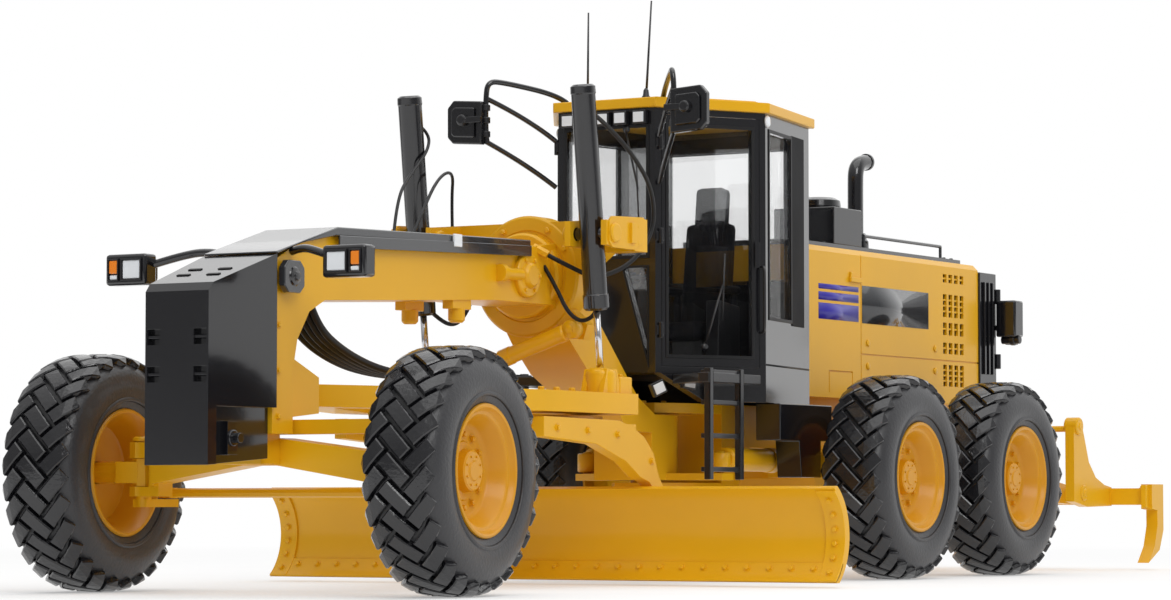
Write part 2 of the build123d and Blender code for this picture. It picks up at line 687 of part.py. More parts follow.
# Rear frame: rails under the hood, tail plate and the fork that holds the articulation pin
with BuildPart() as rear_frame:
    slab(side(0), (
        (92.0, 11.6), (92.0, cab_low), (107.6, cab_low), (107.6, hood_low), (168.0, hood_low), (170.8, 24.0),
        (170.8, 10.2), (168.0, 8.6), (150.0, 17.4), (100.0, 17.4), (96.0, 11.6),
    ), frame_half, both=True)
    for low, high in ((pivot_z[0] - 2.2, pivot_z[0] - 0.3), (pivot_z[1] + 0.3, cab_low)):
        slab(plan(low), (
            (-3.0, pivot_behind - 2.4), (3.0, pivot_behind - 2.4), (5.4, pivot_behind + 1.0), (frame_half, 92.4),
            (-frame_half, 92.4), (-5.4, pivot_behind + 1.0),
        ), high - low)
    rod(at(0, pivot_behind, pivot_z[0] - 2.4), at(0, pivot_behind, pivot_z[1] + 0.6), pivot_pin)
    for hand_name, hand in sides:
        for low in (turn_z - 2.2, turn_z + 1.0):
            slab(plan(low), (
                (hand * (frame_half - 0.4), turn_pin_behind - 3.0), (hand * (turn_x + 1.2), turn_pin_behind - 1.4),
                (hand * (turn_x + 1.2), turn_pin_behind + 1.4), (hand * (frame_half - 0.4), turn_pin_behind + 3.0),
            ), 1.2)
        slab(side(hand * (frame_half - 1.4)), (
            (turn_pin_behind - 3.0, turn_z - 2.2), (turn_pin_behind + 3.0, turn_z - 2.2),
            (turn_pin_behind + 3.0, 17.6), (turn_pin_behind - 3.0, 17.6),
        ), hand * 1.4)
        rod(at(hand * turn_x, turn_pin_behind, turn_z - 2.2), at(hand * turn_x, turn_pin_behind, turn_z + 2.2),
            small_pin, flats=8)
        slab(side(hand * 4.2), (
            (170.0, ripper_pin[1] - 1.7), (ripper_pin[0] + 0.8, ripper_pin[1] - 1.7),
            (ripper_pin[0] + 1.7, ripper_pin[1]), (ripper_pin[0] + 0.8, ripper_pin[1] + 1.7),
            (170.0, ripper_pin[1] + 2.6),
        ), hand * 1.8)
    slab(side(0), ((160.5, 20.6), (171.0, 17.4), (171.0, 28.0), (160.5, 28.0)), 2.0, both=True, mode=Mode.SUBTRACT)
    rod(at(-3.0, *lift_pin), at(3.0, *lift_pin), small_pin, flats=8)
    rod(at(-20, *ripper_pin), at(20, *ripper_pin), ripper_pin_radius + run_gap, mode=Mode.SUBTRACT)
finish(rear_frame, "rear_frame")

# Rear axle housing with a tandem case on each end and the wheel spindles
case_turns = (-90, -45, 0, 45, 90)
case_outline = [
    (wheelbase + end * (tandem_spacing / 2 + case_radius * cos(radians(turn))),
     axle_z + end * case_radius * sin(radians(turn)))
    for end in (1, -1)
    for turn in case_turns
]
with BuildPart() as tandem:
    rod(at(-14.6, wheelbase, axle_z), at(14.6, wheelbase, axle_z), 3.6, flats=12)
    for hand_name, hand in sides:
        slab(side(hand * 14.2), case_outline, hand * 3.6)
        for place, steered, behind in wheels[1:]:
            rod(at(hand * 17.0, behind, axle_z), at(hand * 20.6, behind, axle_z), 3.0, flats=12)
            rod(at(hand * 20.0, behind, axle_z), at(hand * (track / 2 + hub_out - 0.8), behind, axle_z),
                spindle_radius, flats=12)
finish(tandem, "rear_axle")

# Hood: a box over the frame with side skirts, panel seams and grouped vents on each side
seams = (
    # from (behind, height), to (behind, height)
    ((seam_behind, hood_skirt), (seam_behind, hood_top)),
    ((seam_behind, 30.6), (hood_y[1], 30.6)),
    ((114.4, 25.2), (114.4, 28.0)),
    ((114.4, 28.0), (121.4, 28.0)),
    ((121.4, 28.0), (121.4, 25.2)),
)
vents = (
    # low, high
    (26.9, 30.0),
    (31.6, 33.2),
    (34.3, 36.1),
    (36.9, 40.2),
    (41.9, 43.1),
)
with BuildPart() as hood:
    slab(side(0), (
        (hood_y[0], hood_skirt), (hood_y[0], hood_top), (hood_y[1], hood_top), (hood_y[1], hood_skirt),
    ), hood_half, both=True)
    slab(side(0), (
        (hood_y[0] - 1, hood_skirt - 1), (hood_y[0] - 1, hood_low), (hood_y[1] + 1, hood_low),
        (hood_y[1] + 1, hood_skirt - 1),
    ), hood_half - skirt_thickness, both=True, mode=Mode.SUBTRACT)
    long_top = hood.edges().filter_by(lambda e: abs(e.tangent_at(0).Y) > 0.9).group_by(Axis.Z)[-1]
    chamfer(long_top, 0.8)
    for hand_name, hand in sides:
        for low, high in vents:
            with BuildSketch(side(hand * (hood_half - 0.5))):
                with Locations((154.0, (low + high) / 2)):
                    with GridLocations(1.9, 1, 4, 1):
                        Rectangle(1.2, high - low)
            extrude(amount=hand, mode=Mode.SUBTRACT)
        for start, end in seams:
            with BuildSketch(side(hand * (hood_half - seam_width))):
                with Locations(((start[0] + end[0]) / 2, (start[1] + end[1]) / 2)):
                    Rectangle(end[0] - start[0] + seam_width, abs(end[1] - start[1]) + seam_width)
            extrude(amount=hand, mode=Mode.SUBTRACT)
finish(hood, "hood")

with BuildPart() as shroud:
    slab(plan(27.0), (
        (-11.3, hood_y[1] + 0.02), (11.3, hood_y[1] + 0.02), (11.3, 168.2), (9.6, shroud_end),
        (-9.6, shroud_end), (-11.3, 168.2),
    ), 17.0)
    with BuildSketch(front(shroud_end)):
        with Locations((0, 35.6)):
            with GridLocations(1, 1.5, 1, 9):
                Rectangle(15.0, 0.8)
    extrude(amount=0.6, mode=Mode.SUBTRACT)
finish(shroud, "radiator_shroud")

with BuildPart() as tail_lamps:
    for hand_name, hand in sides:
        with BuildSketch(plan(33.4)):
            with Locations((hand * 13.3, 168.6)):
                Rectangle(3.2, 3.0)
        extrude(amount=6.6)
        with BuildSketch(plan(35.0)):
            with Locations((hand * 11.55, 167.6)):
                Rectangle(0.4, 1.0)
        extrude(amount=2.0)
finish(tail_lamps, "tail_lamps")

with BuildPart() as hood_deck:
    with BuildSketch(plan(hood_top)):
        with Locations((0, (hood_y[0] + hood_y[1]) / 2)):
            Rectangle(16.8, hood_y[1] - hood_y[0] - 1.0)
    extrude(amount=deck_top - hood_top)
    for hand_name, hand in sides:
        rail = (at(hand * 8.0, 131.0, deck_top - 0.2), at(hand * 8.0, 131.0, deck_top + 1.7),
                at(hand * 8.0, 156.0, deck_top + 1.7), at(hand * 8.0, 156.0, deck_top - 0.2))
        for start, end in zip(rail, rail[1:]):
            rod(start, end, 0.25, flats=6)
finish(hood_deck, "hood_deck")

with BuildPart() as air_cleaner:
    with BuildSketch(plan(deck_top)):
        with Locations((3.6, 125.6)):
            Rectangle(9.4, 8.6)
    extrude(amount=5.2)
finish(air_cleaner, "air_cleaner")

# Exhaust: a tapered base and a stack that bends back at the top
with BuildPart() as exhaust:
    with BuildLine():
        Polyline(at(4.0, 136.5, deck_top), at(4.0, 136.5, 55.6), at(4.0, 137.1, 57.2), at(4.0, 138.4, 58.3),
                 at(4.0, 140.2, 58.8))
    with BuildSketch(Plane(origin=at(4.0, 136.5, deck_top), z_dir=(0, 0, 1))):
        RegularPolygon(1.2, 12)
    sweep(transition=Transition.RIGHT)
    with BuildSketch(plan(deck_top)):
        with Locations((4.0, 136.5)):
            RegularPolygon(1.9, 12)
    extrude(amount=2.4)
    rod(at(4.0, 139.2, 58.55), at(4.0, 140.6, 58.95), 0.9, Mode.SUBTRACT, 12)
finish(exhaust, "exhaust")

# Cab: six-sided shell with its windows cut, a floor, a roof and one pane of glass in each window
cab_plan = (
    (cab_front[0], cab_front[1]), (cab_mid[0], cab_mid[1]), (cab_rear[0], cab_rear[1]),
    (-cab_rear[0], cab_rear[1]), (-cab_mid[0], cab_mid[1]), (-cab_front[0], cab_front[1]),
)


def wall_plane(start, end, inset=0.0):
    # Local x runs along the wall, local y is height, and the normal points out of the cab.
    run = (at(end[0], end[1], 0) - at(start[0], start[1], 0)).normalized()
    wall = Plane(origin=at(start[0], start[1], 0), x_dir=run, z_dir=run.cross(Vector(0, 0, 1)))
    return wall.offset(-inset)


def wall_length(start, end):
    return (at(end[0], end[1], 0) - at(start[0], start[1], 0)).length


front_length = wall_length(cab_plan[0], cab_plan[1])
rear_length = wall_length(cab_plan[1], cab_plan[2])
glass_low = 34.0
windows = (
    # wall, outline along the wall and up
    ("front", 5, ((1.2, 58.0), (2 * cab_front[0] - 1.2, 58.0), (2 * cab_front[0] - 1.2, 41.5), (1.2, 41.5))),
    ("front_low_right", 5, ((1.2, 40.0), (4.6, 40.0), (1.2, 28.6))),
    ("front_low_left", 5, ((9.8, 40.0), (13.2, 40.0), (13.2, 28.6))),
    ("door_left", 0, ((1.8, 58.2), (front_length - 2.0, 58.2), (front_length - 2.0, 28.8), (1.8, 28.8))),
    ("side_left", 1, ((1.6, 58.2), (11.6, 58.2), (11.6, glass_low), (1.6, glass_low))),
    ("rear", 2, ((2.0, 57.6), (2 * cab_rear[0] - 2.0, 57.6), (2 * cab_rear[0] - 2.0, 40.0), (2.0, 40.0))),
    ("side_right", 3, ((rear_length - 11.6, 58.2), (rear_length - 1.6, 58.2), (rear_length - 1.6, glass_low),
                       (rear_length - 11.6, glass_low))),
    ("door_right", 4, ((2.0, 58.2), (front_length - 1.8, 58.2), (front_length - 1.8, 28.8), (2.0, 28.8))),
)
window_outlines = {name: points for name, index, points in windows}
handle_z = 42.0
handle_size = (0.7, 3.2)
handle_stand = 0.5
doors = (
    # side, wall, middle of the handle along the wall
    ("left", 0, front_length - 1.5),
    ("right", 4, 1.5),
)


def door_frame(margin):
    # The door's outline on its wall, grown by a margin
    low_x = door_inset - margin
    high_x = front_length - door_inset + margin
    return (
        (low_x, door_low - margin), (high_x, door_low - margin), (high_x, door_high + margin),
        (low_x, door_high + margin),
    )


with BuildPart() as cab:
    shell = outline(plan(cab_low), cab_plan)
    extrude(shell.sketch, amount=cab_top - cab_low)
    with BuildSketch(plan(cab_low)):
        with BuildLine():
            Polyline(*cab_plan, close=True)
        make_face()
        offset(amount=-cab_wall, kind=Kind.INTERSECTION)
    extrude(amount=cab_top - cab_low, mode=Mode.SUBTRACT)
    for name, index, points in windows:
        wall = wall_plane(cab_plan[index], cab_plan[(index + 1) % 6], 2.0 * cab_wall)
        slab(wall, points, 4.0 * cab_wall, mode=Mode.SUBTRACT)
    for hand_name, index, handle in doors:
        wall = wall_plane(cab_plan[index], cab_plan[index + 1], 2.0 * cab_wall)
        slab(wall, door_frame(0), 4.0 * cab_wall, mode=Mode.SUBTRACT)
    slab(side(0), (
        (70.0, 20.0), (70.0, cab_floor_z), (cab_front[1] + 0.6, cab_floor_z), (79.8, cab_low), (79.8, 20.0),
    ), 20, both=True, mode=Mode.SUBTRACT)
finish(cab, "cab")

for hand_name, index, handle in doors:
    wall = wall_plane(cab_plan[index], cab_plan[index + 1], cab_wall)
    with BuildPart() as door:
        slab(wall, door_frame(-door_gap), cab_wall)
        slab(wall.offset(-cab_wall), window_outlines[f"door_{hand_name}"], 3.0 * cab_wall, mode=Mode.SUBTRACT)
        with BuildSketch(wall.offset(cab_wall)):
            with Locations((handle, handle_z)):
                Rectangle(*handle_size)
        extrude(amount=handle_stand)
    finish(door, f"cab_door_{hand_name}")

with BuildPart() as glass:
    for name, index, points in windows:
        wall = wall_plane(cab_plan[index], cab_plan[(index + 1) % 6], 0.7 * cab_wall)
        slab(wall, points, 0.4 * cab_wall)
finish(glass, "cab_glass")

with BuildPart() as roof:
    with BuildSketch(plan(cab_top)):
        with BuildLine():
            Polyline(*cab_plan, close=True)
        make_face()
        offset(amount=roof_overhang, kind=Kind.INTERSECTION)
    extrude(amount=roof_edge)
    with BuildSketch(plan(cab_top)):
        with BuildLine():
            Polyline(*cab_plan, close=True)
        make_face()
        offset(amount=-roof_inset, kind=Kind.INTERSECTION)
        with Locations((0, cab_front[1])):
            Rectangle(4 * cab_front[0], 2 * roof_panel_start, mode=Mode.SUBTRACT)
    extrude(amount=roof_thickness)
finish(roof, "cab_roof")

with BuildPart() as floor:
    with BuildSketch(plan(cab_floor_z)):
        with BuildLine():
            Polyline(*cab_plan, close=True)
        make_face()
        offset(amount=-cab_wall - 0.02, kind=Kind.INTERSECTION)
    extrude(amount=1.2)
finish(floor, "cab_floor")

seat_behind = 97.0
with BuildPart() as seat:
    with BuildSketch(plan(cab_floor_z + 1.2)):
        with Locations((0, seat_behind)):
            Rectangle(6.0, 6.0)
    extrude(amount=31.6 - cab_floor_z - 1.2)
    slab(side(0), (
        (seat_behind - 4.6, 31.6), (seat_behind + 3.6, 31.6), (seat_behind + 5.4, 45.6), (seat_behind + 3.2, 45.6),
        (seat_behind + 1.6, 34.2), (seat_behind - 4.6, 34.0),
    ), 3.6, both=True)
    with BuildSketch(front(seat_behind + 5.2)):
        with Locations((0, 48.2)):
            headrest = Rectangle(4.6, 4.4)
            chamfer(headrest.vertices(), 1.0)
    extrude(amount=1.6)
    with BuildSketch(front(seat_behind + 4.8)):
        with Locations((0, 45.6)):
            Rectangle(2.4, 2.0)
    extrude(amount=1.0)
finish(seat, "seat")

with BuildPart() as console:
    slab(side(0), (
        (79.4, cab_floor_z + 1.2), (84.0, cab_floor_z + 1.2), (82.4, 36.5), (80.6, 38.4), (79.2, 37.6),
    ), 1.3, both=True)
    for hand_name, hand in sides:
        slab(side(hand * 5.2), ((90.0, cab_floor_z + 1.2), (96.0, cab_floor_z + 1.2), (96.0, 36.0), (90.4, 36.6)), hand * 2.0)
finish(console, "cab_console")

with BuildPart() as mirrors:
    for hand_name, hand in sides:
        with BuildSketch(front(66.8)):
            with Locations((hand * 16.5, 59.0)):
                casing = Rectangle(5.0, 5.4)
                chamfer(casing.vertices(), 0.9)
        extrude(amount=1.4)
        route = (at(hand * 7.4, 75.4, 62.4), at(hand * 14.0, 66.6, 64.0), at(hand * 16.3, 66.0, 61.0))
        for start, end in zip(route, route[1:]):
            rod(start, end, 0.38, flats=6)
        for low, high in ((51.0, 55.4), (56.0, 60.4)):
            rod(at(hand * 7.9, 73.8, low), at(hand * 15.2, 66.2, high - 1.5), 0.33, flats=6)
finish(mirrors, "mirrors")

with BuildPart() as antennas:
    for x, behind, top, lean in ((5.0, 75.0, 74.5, 1.4), (-4.0, 75.5, 73.5, 0.2)):
        rod(at(x, behind, cab_top + roof_edge), at(x, behind + lean, top), 0.19, flats=6)
        rod(at(x, behind, cab_top + roof_edge), at(x, behind, cab_top + roof_edge + 1.2), 0.48, flats=6)
finish(antennas, "antennas")

with BuildPart() as roof_lamps:
    for x in (-5.4, -0.2, 1.8 + 0.6, 5.2):
        with BuildSketch(front(cab_front[1])):
            with Locations((x, cab_top - 1.2)):
                Rectangle(1.6, 1.4)
        extrude(amount=0.7)
finish(roof_lamps, "roof_lamps")

def door_x(behind):
    # The door wall's outer face, at a distance behind the front axle
    share = (behind - cab_front[1]) / (cab_mid[1] - cab_front[1])
    return cab_front[0] + share * (cab_mid[0] - cab_front[0])


with BuildPart() as steps:
    for hand_name, hand in sides:
        for behind in (71.0, 79.0):
            slab(side(hand * 15.6), (
                (behind, 13.0), (behind + 0.9, 13.0), (behind + 0.9, 27.0), (behind, 27.0),
            ), hand * 0.9)
        for height in (14.0, 18.2, 22.4, 26.2):
            slab(side(hand * 14.8), (
                (71.6, height), (79.4, height), (79.4, height + 0.6), (71.6, height + 0.6),
            ), hand * 1.4)
        slab(plan(25.2), (
            (hand * (door_x(75.6) + 0.02), 75.6), (hand * (door_x(84.6) + 0.02), 84.6), (hand * 16.4, 84.6),
            (hand * 16.4, 70.8), (hand * 15.0, 70.8),
        ), 1.2)
finish(steps, "steps")

with BuildPart() as side_boxes:
    for hand_name, hand in sides:
        slab(side(hand * 12.2), (
            (91.0, 18.2), (96.4, 18.2), (97.0, 13.4), (102.6, 13.4), (102.6, 18.2), (105.8, 18.2),
            (105.8, cab_low), (91.0, cab_low),
        ), hand * 3.6)
finish(side_boxes, "side_boxes")

# Ripper: cross beam on two arms, its uprights and three shanks
with BuildPart() as ripper:
    with BuildSketch(side(-ripper_half)):
        with Locations((ripper_beam_behind, sum(ripper_beam_z) / 2)):
            Rectangle(3.0, ripper_beam_z[1] - ripper_beam_z[0])
    extrude(amount=2 * ripper_half)
    for hand_name, hand in sides:
        slab(side(hand * ripper_arm_x), (
            (ripper_pin[0] - 1.6, ripper_pin[1] - 1.5), (ripper_beam_behind, ripper_beam_z[0]),
            (ripper_beam_behind, ripper_beam_z[1]), (ripper_pin[0] + 5.5, 13.6), (ripper_pin[0] + 3.2, 21.6),
            (ripper_pin[0] + 0.8, 21.6), (ripper_pin[0] - 1.6, ripper_pin[1] + 1.5),
        ), 1.0, both=True)
    rod(at(-ripper_arm_x, *ripper_pin), at(ripper_arm_x, *ripper_pin), ripper_pin_radius)
    slab(side(0), (
        (ripper_pin[0] + 0.9, ripper_pin[1] - 1.0), (ripper_beam_behind, ripper_beam_z[0] + 0.2),
        (ripper_beam_behind, ripper_beam_z[1]), (ripper_eye[0] + 1.4, ripper_eye[1] + 0.6),
        (ripper_eye[0] - 1.2, ripper_eye[1] + 0.9), (ripper_pin[0] - 1.0, ripper_pin[1]),
    ), 1.7, both=True)
    with BuildSketch(side(0)):
        with Locations(ripper_eye):
            RegularPolygon(3.3, 12)
    extrude(amount=0.95, both=True, mode=Mode.SUBTRACT)
    for x in (-ripper_half, -0.9, ripper_half - 1.8):
        slab(side(x), (
            (ripper_beam_behind - 1.4, 12.9), (tail_reach, 12.9), (tail_reach, 6.0), (tail_reach - 1.6, 3.0),
            (ripper_beam_behind - 3.0, 1.1), (ripper_beam_behind - 0.6, 3.6), (ripper_beam_behind + 0.6, 6.6),
            (ripper_beam_behind + 0.6, 9.0), (ripper_beam_behind - 1.4, 9.2),
        ), 1.8)
finish(ripper, "ripper")

with BuildPart() as ripper_barrel:
    start = at(0, *lift_pin)
    eye = at(0, *ripper_eye)
    rod(between(start, eye, 0.8), between(start, eye, 8.4), small_barrel_radius + 0.2, flats=12)
    rod(start - Vector(1.2, 0, 0), start + Vector(1.2, 0, 0), 1.2, flats=12)
    rod(start - Vector(3, 0, 0), start + Vector(3, 0, 0), small_pin + run_gap, mode=Mode.SUBTRACT)
    rod(between(start, eye, 2.0), between(start, eye, 9.0), small_rod_radius + run_gap, Mode.SUBTRACT, 8)
finish(ripper_barrel, "ripper_barrel")

with BuildPart() as ripper_rod:
    rod(between(start, eye, 6.6), eye, small_rod_radius, flats=8)
    rod(eye - Vector(0.7, 0, 0), eye + Vector(0.7, 0, 0), 1.0, flats=10)
finish(ripper_rod, "ripper_rod")
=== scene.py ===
import json
from math import cos, pi, radians, sin, sqrt

import bmesh
import bpy
from mathutils import Matrix, Vector


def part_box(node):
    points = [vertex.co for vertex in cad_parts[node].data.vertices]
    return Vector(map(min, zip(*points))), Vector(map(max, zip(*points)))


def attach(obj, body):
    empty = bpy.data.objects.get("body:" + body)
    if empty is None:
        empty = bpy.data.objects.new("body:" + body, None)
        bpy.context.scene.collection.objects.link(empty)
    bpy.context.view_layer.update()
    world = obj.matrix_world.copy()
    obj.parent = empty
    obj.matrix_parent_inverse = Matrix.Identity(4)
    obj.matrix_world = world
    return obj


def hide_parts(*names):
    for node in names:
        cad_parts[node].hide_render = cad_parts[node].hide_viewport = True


# A 1:50 scale model of a motor grader. The front points to -Y, its left side to +X, and Z is up.
# Sizes here are millimetres, turned into metres where a mesh is made.
# Every "behind" distance is measured back from the front axle, as in the part's source.

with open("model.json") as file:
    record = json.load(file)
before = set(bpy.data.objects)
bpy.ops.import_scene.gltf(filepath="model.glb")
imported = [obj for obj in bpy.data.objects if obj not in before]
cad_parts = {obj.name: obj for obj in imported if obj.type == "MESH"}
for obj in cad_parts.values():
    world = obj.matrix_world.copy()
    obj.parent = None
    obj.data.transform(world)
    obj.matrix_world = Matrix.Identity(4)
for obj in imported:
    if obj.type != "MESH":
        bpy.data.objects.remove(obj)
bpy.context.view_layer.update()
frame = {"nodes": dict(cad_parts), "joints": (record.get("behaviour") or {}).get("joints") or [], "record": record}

MM = 0.001
REAR, FRONT = "rear_frame", "front_frame"
scene = bpy.context.scene
joints = {joint["child"]: joint for joint in frame["joints"]}
axle_low, axle_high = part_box("front_axle")
AXLE_Y = (axle_low.y + axle_high.y) / 2 / MM
SIDES = (("left", 1), ("right", -1))
X_AXIS, Y_AXIS, Z_AXIS = (1, 0, 0), (0, 1, 0), (0, 0, 1)


def at(x, behind, z):
    return Vector((x, AXLE_Y + behind, z))


def side(x):
    """Side view: u runs back from the front axle, v is height, and w goes to the machine's left."""
    return lambda u, v, w: at(x + w, u, v)


def front(behind):
    """Front view: u is to the left, v is height, and w goes back."""
    return lambda u, v, w: at(u, behind + w, v)


def plan(z):
    """Top view: u is to the left, v runs back, and w goes up."""
    return lambda u, v, w: at(u, v, z + w)


# Shader nodes


def settle(item, values):
    """Values set on a node's sockets."""
    for socket, value in values.items():
        item.inputs[socket].default_value = value
    return item


def node(tree, kind, values=None, operation=None):
    item = tree.nodes.new("ShaderNode" + kind)
    if operation:
        item.operation = operation
    return settle(item, values or {})


def link(tree, *rows):
    """Links, each from a node's output to a node's input."""
    for source, output, target, socket in rows:
        tree.links.new(source.outputs[output], target.inputs[socket])


# Looks: each is a slot and a material


def surface(name, colour, roughness, slot=None, spread=0.06, patch=70.0, grain=1500.0, bump=0.04,
            metallic=0.0, coat=0.0, specular=0.5):
    """A look whose shade and gloss drift a little over the surface, with a fine grain."""
    material = bpy.data.materials.new(name)
    material.use_nodes = True
    tree = material.node_tree
    shader = settle(tree.nodes["Principled BSDF"], {
        "Metallic": metallic, "Specular IOR Level": specular, "Coat Weight": coat, "Coat Roughness": 0.08,
    })
    place = node(tree, "TexCoord")
    drift = node(tree, "TexNoise", {"Scale": patch, "Detail": 4.0})
    tint = node(tree, "ValToRGB")
    for element, edge, share in zip(tint.color_ramp.elements, (0.3, 0.7), (1 - spread, 1 + spread)):
        element.position = edge
        element.color = (*[min(1.0, c * share) for c in colour], 1.0)
    gloss = node(tree, "MapRange", {"To Min": roughness * 0.8, "To Max": roughness * 1.25})
    fine = node(tree, "TexNoise", {"Scale": grain, "Detail": 2.0})
    relief = node(tree, "Bump", {"Strength": bump, "Distance": 0.0002})
    link(
        tree, (place, "Object", drift, "Vector"), (drift, "Fac", tint, "Fac"),
        (tint, "Color", shader, "Base Color"), (drift, "Fac", gloss, "Value"),
        (gloss, "Result", shader, "Roughness"), (place, "Object", fine, "Vector"),
        (fine, "Fac", relief, "Height"), (relief, "Normal", shader, "Normal"),
    )
    return slot or name, material


YELLOW = surface("yellow_paint", (0.78, 0.41, 0.006), 0.32, spread=0.04, coat=0.08, specular=0.35)
BLACK = surface("black_paint", (0.007, 0.007, 0.009), 0.16, bump=0.02, coat=0.7)
PLASTIC = surface("black_plastic", (0.009, 0.009, 0.011), 0.3, bump=0.1, coat=0.3)
TYRE = surface("tyre", (0.03, 0.03, 0.033), 0.42, bump=0.3, grain=2600.0, coat=0.15)
GLASS = surface("glass", (0.9, 0.93, 0.95), 0.03, spread=0.03, bump=0.01)
LENS = surface("lens", (0.82, 0.85, 0.88), 0.12, coat=0.6, bump=0.02)
CHROME = surface("chrome", (0.72, 0.72, 0.74), 0.16, metallic=1.0, bump=0.02)
GREY = surface("dark_grey", (0.03, 0.032, 0.036), 0.2, bump=0.06, grain=2200.0, coat=1.0)
finishes = dict((YELLOW, BLACK, PLASTIC, TYRE, GLASS, LENS, CHROME, GREY))
# the panes are a thin clear moulding that lets most light through
settle(GLASS[1].node_tree.nodes["Principled BSDF"], {"Transmission Weight": 1.0, "IOR": 1.45, "Alpha": 0.16})

TREAD = surface("tread_rubber", (0.01, 0.01, 0.012), 0.2, "tyre", bump=0.25, grain=2600.0, coat=0.4)
AMBER = surface("amber", (0.9, 0.24, 0.01), 0.15, "lens", coat=0.6, bump=0.02)
RED = surface("red", (0.45, 0.015, 0.01), 0.15, "lens", coat=0.6, bump=0.02)
STRIPE = surface("blue_stripe", (0.035, 0.025, 0.36), 0.32, "yellow_paint", spread=0.03, coat=0.3)
SEAT = surface(
    "seat_moulding", (0.006, 0.006, 0.009), 0.6, "black_plastic", bump=0.4, grain=3500.0, specular=0.12)
RUBBER = surface("rubber", (0.008, 0.008, 0.009), 0.45, "black_plastic", bump=0.1, specular=0.35)
TRIM = surface("dark_trim", (0.004, 0.004, 0.005), 0.5, "black_plastic", bump=0.05, specular=0.08)
# the rims' yellow is darker and more orange than the paint: a painted shade, standing in for the shade inside the
# dish
RIM_SHADED = surface("rim_shaded_yellow", (0.66, 0.3, 0.004), 0.34, "yellow_paint", spread=0.04, coat=0.08, specular=0.35)
GLOSS = PLASTIC[0], BLACK[1]

# CAD nodes that show as they are, with a finish and soft edges. A piece below stands for each other node.
KEPT_NODES = (
    "rear_frame rear_axle hood radiator_shroud hood_deck air_cleaner cab cab_door_left cab_door_right "
    "cab_glass cab_roof cab_floor cab_console steps side_boxes front_frame front_axle lift_saddle "
    "counterweight knuckle_left knuckle_right tie_rod drawbar circle moldboard ripper"
).split()
SOFT_EDGE = 0.14
OTHER_EDGES = {"cab_glass": 0.0, "counterweight": 0.3, "hood_deck": 0.22}

# Building pieces


def mesh_from(form, name, *materials):
    """A mesh in metres from a bmesh in millimetres, its faces turned outward."""
    bmesh.ops.recalc_face_normals(form, faces=form.faces)
    mesh = bpy.data.meshes.new(name)
    form.to_mesh(mesh)
    form.free()
    mesh.transform(Matrix.Scale(MM, 4))
    for material in materials:
        mesh.materials.append(material)
    return mesh


def shown(name, data):
    """A new object in the scene."""
    obj = bpy.data.objects.new(name, data)
    scene.collection.objects.link(obj)
    return obj


def soften(obj, width, angle, segments):
    """Every corner sharper than the angle, rounded by the width."""
    rounded = obj.modifiers.new("rounded", "BEVEL")
    rounded.width = width * MM
    rounded.segments = segments
    rounded.limit_method = "ANGLE"
    rounded.angle_limit = radians(angle)
    rounded.harden_normals = True


def refine(obj, width):
    """Coplanar faces joined, then soft edges."""
    joined = obj.modifiers.new("joined", "WELD")
    joined.merge_threshold = 0.002 * MM
    flat = obj.modifiers.new("flat", "DECIMATE")
    flat.decimate_type = "DISSOLVE"
    flat.angle_limit = radians(1.5)
    if width:
        soften(obj, width, 28.0, 2)
    even = obj.modifiers.new("even", "WEIGHTED_NORMAL")
    even.keep_sharp = True


def made(name, body, look, *forms, bevel=0.08, stands_for=None, smooth=True):
    """A piece that rides on a body. Each of its forms is the function that makes it and what that takes."""
    form = bmesh.new()
    for make, *values in forms:
        make(form, *values)
    mesh = mesh_from(form, name, look[1])
    if smooth:
        mesh.shade_smooth()
    obj = shown(name, mesh)
    if bevel:
        refine(obj, bevel)
    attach(obj, body)
    if stands_for:
        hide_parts(stands_for)
    return obj


def rectangle(centre, size):
    (u, v), (a, b) = centre, (size[0] / 2, size[1] / 2)
    return (u - a, v - b), (u + a, v - b), (u + a, v + b), (u - a, v + b)


def spanned(low, high, margin=0.0):
    """A rectangle from its two corners, grown by a margin."""
    (u0, v0), (u1, v1) = low, high
    u0, v0, u1, v1 = u0 - margin, v0 - margin, u1 + margin, v1 + margin
    return (u0, v0), (u1, v0), (u1, v1), (u0, v1)


def skin(form, rows, closed=True):
    """Faces from each row of vertices to the next. A row of one vertex is a point."""
    for a, b in zip(rows, rows[1:]):
        count = max(len(a), len(b))
        for k in range(count if closed else count - 1):
            m = (k + 1) % count
            corners = a[k % len(a)], a[m % len(a)], b[m % len(b)], b[k % len(b)]
            form.faces.new(list(dict.fromkeys(corners)))


def prism(form, lay, points, depth):
    """A flat outline given depth."""
    rows = [[form.verts.new(lay(u, v, w)) for u, v in points] for w in (0.0, depth)]
    for row in rows:
        form.faces.new(row)
    skin(form, rows)


def block(form, lay, centre, size, depth):
    prism(form, lay, rectangle(centre, size), depth)


def ring_frame(form, lay, points, width, depth):
    """A closed frame that follows an outline, width wide on its inside."""
    outer = [Vector(p) for p in points]
    middle = sum(outer, Vector((0, 0))) / len(outer)
    inner = []
    for last, corner, following in zip(outer[-1:] + outer, outer, outer[1:] + outer[:1]):
        before, after = (last - corner).normalized(), (following - corner).normalized()
        half = sqrt((1 - before.dot(after)) / 2)
        inward = (before + after).normalized()
        if inward.dot(middle - corner) < 0:
            inward = -inward
        inner.append(corner + inward * (width / max(half, 0.2)))
    rows = [
        [form.verts.new(lay(p.x, p.y, w)) for p in line]
        for line, w in ((outer, 0.0), (inner, 0.0), (inner, depth), (outer, depth))
    ]
    skin(form, rows + rows[:1])


def around(radius, count, shift=0.0):
    """Points evenly spaced on a circle."""
    turns = [2 * pi * (k + shift) / count for k in range(count)]
    return [(radius * cos(turn), radius * sin(turn)) for turn in turns]


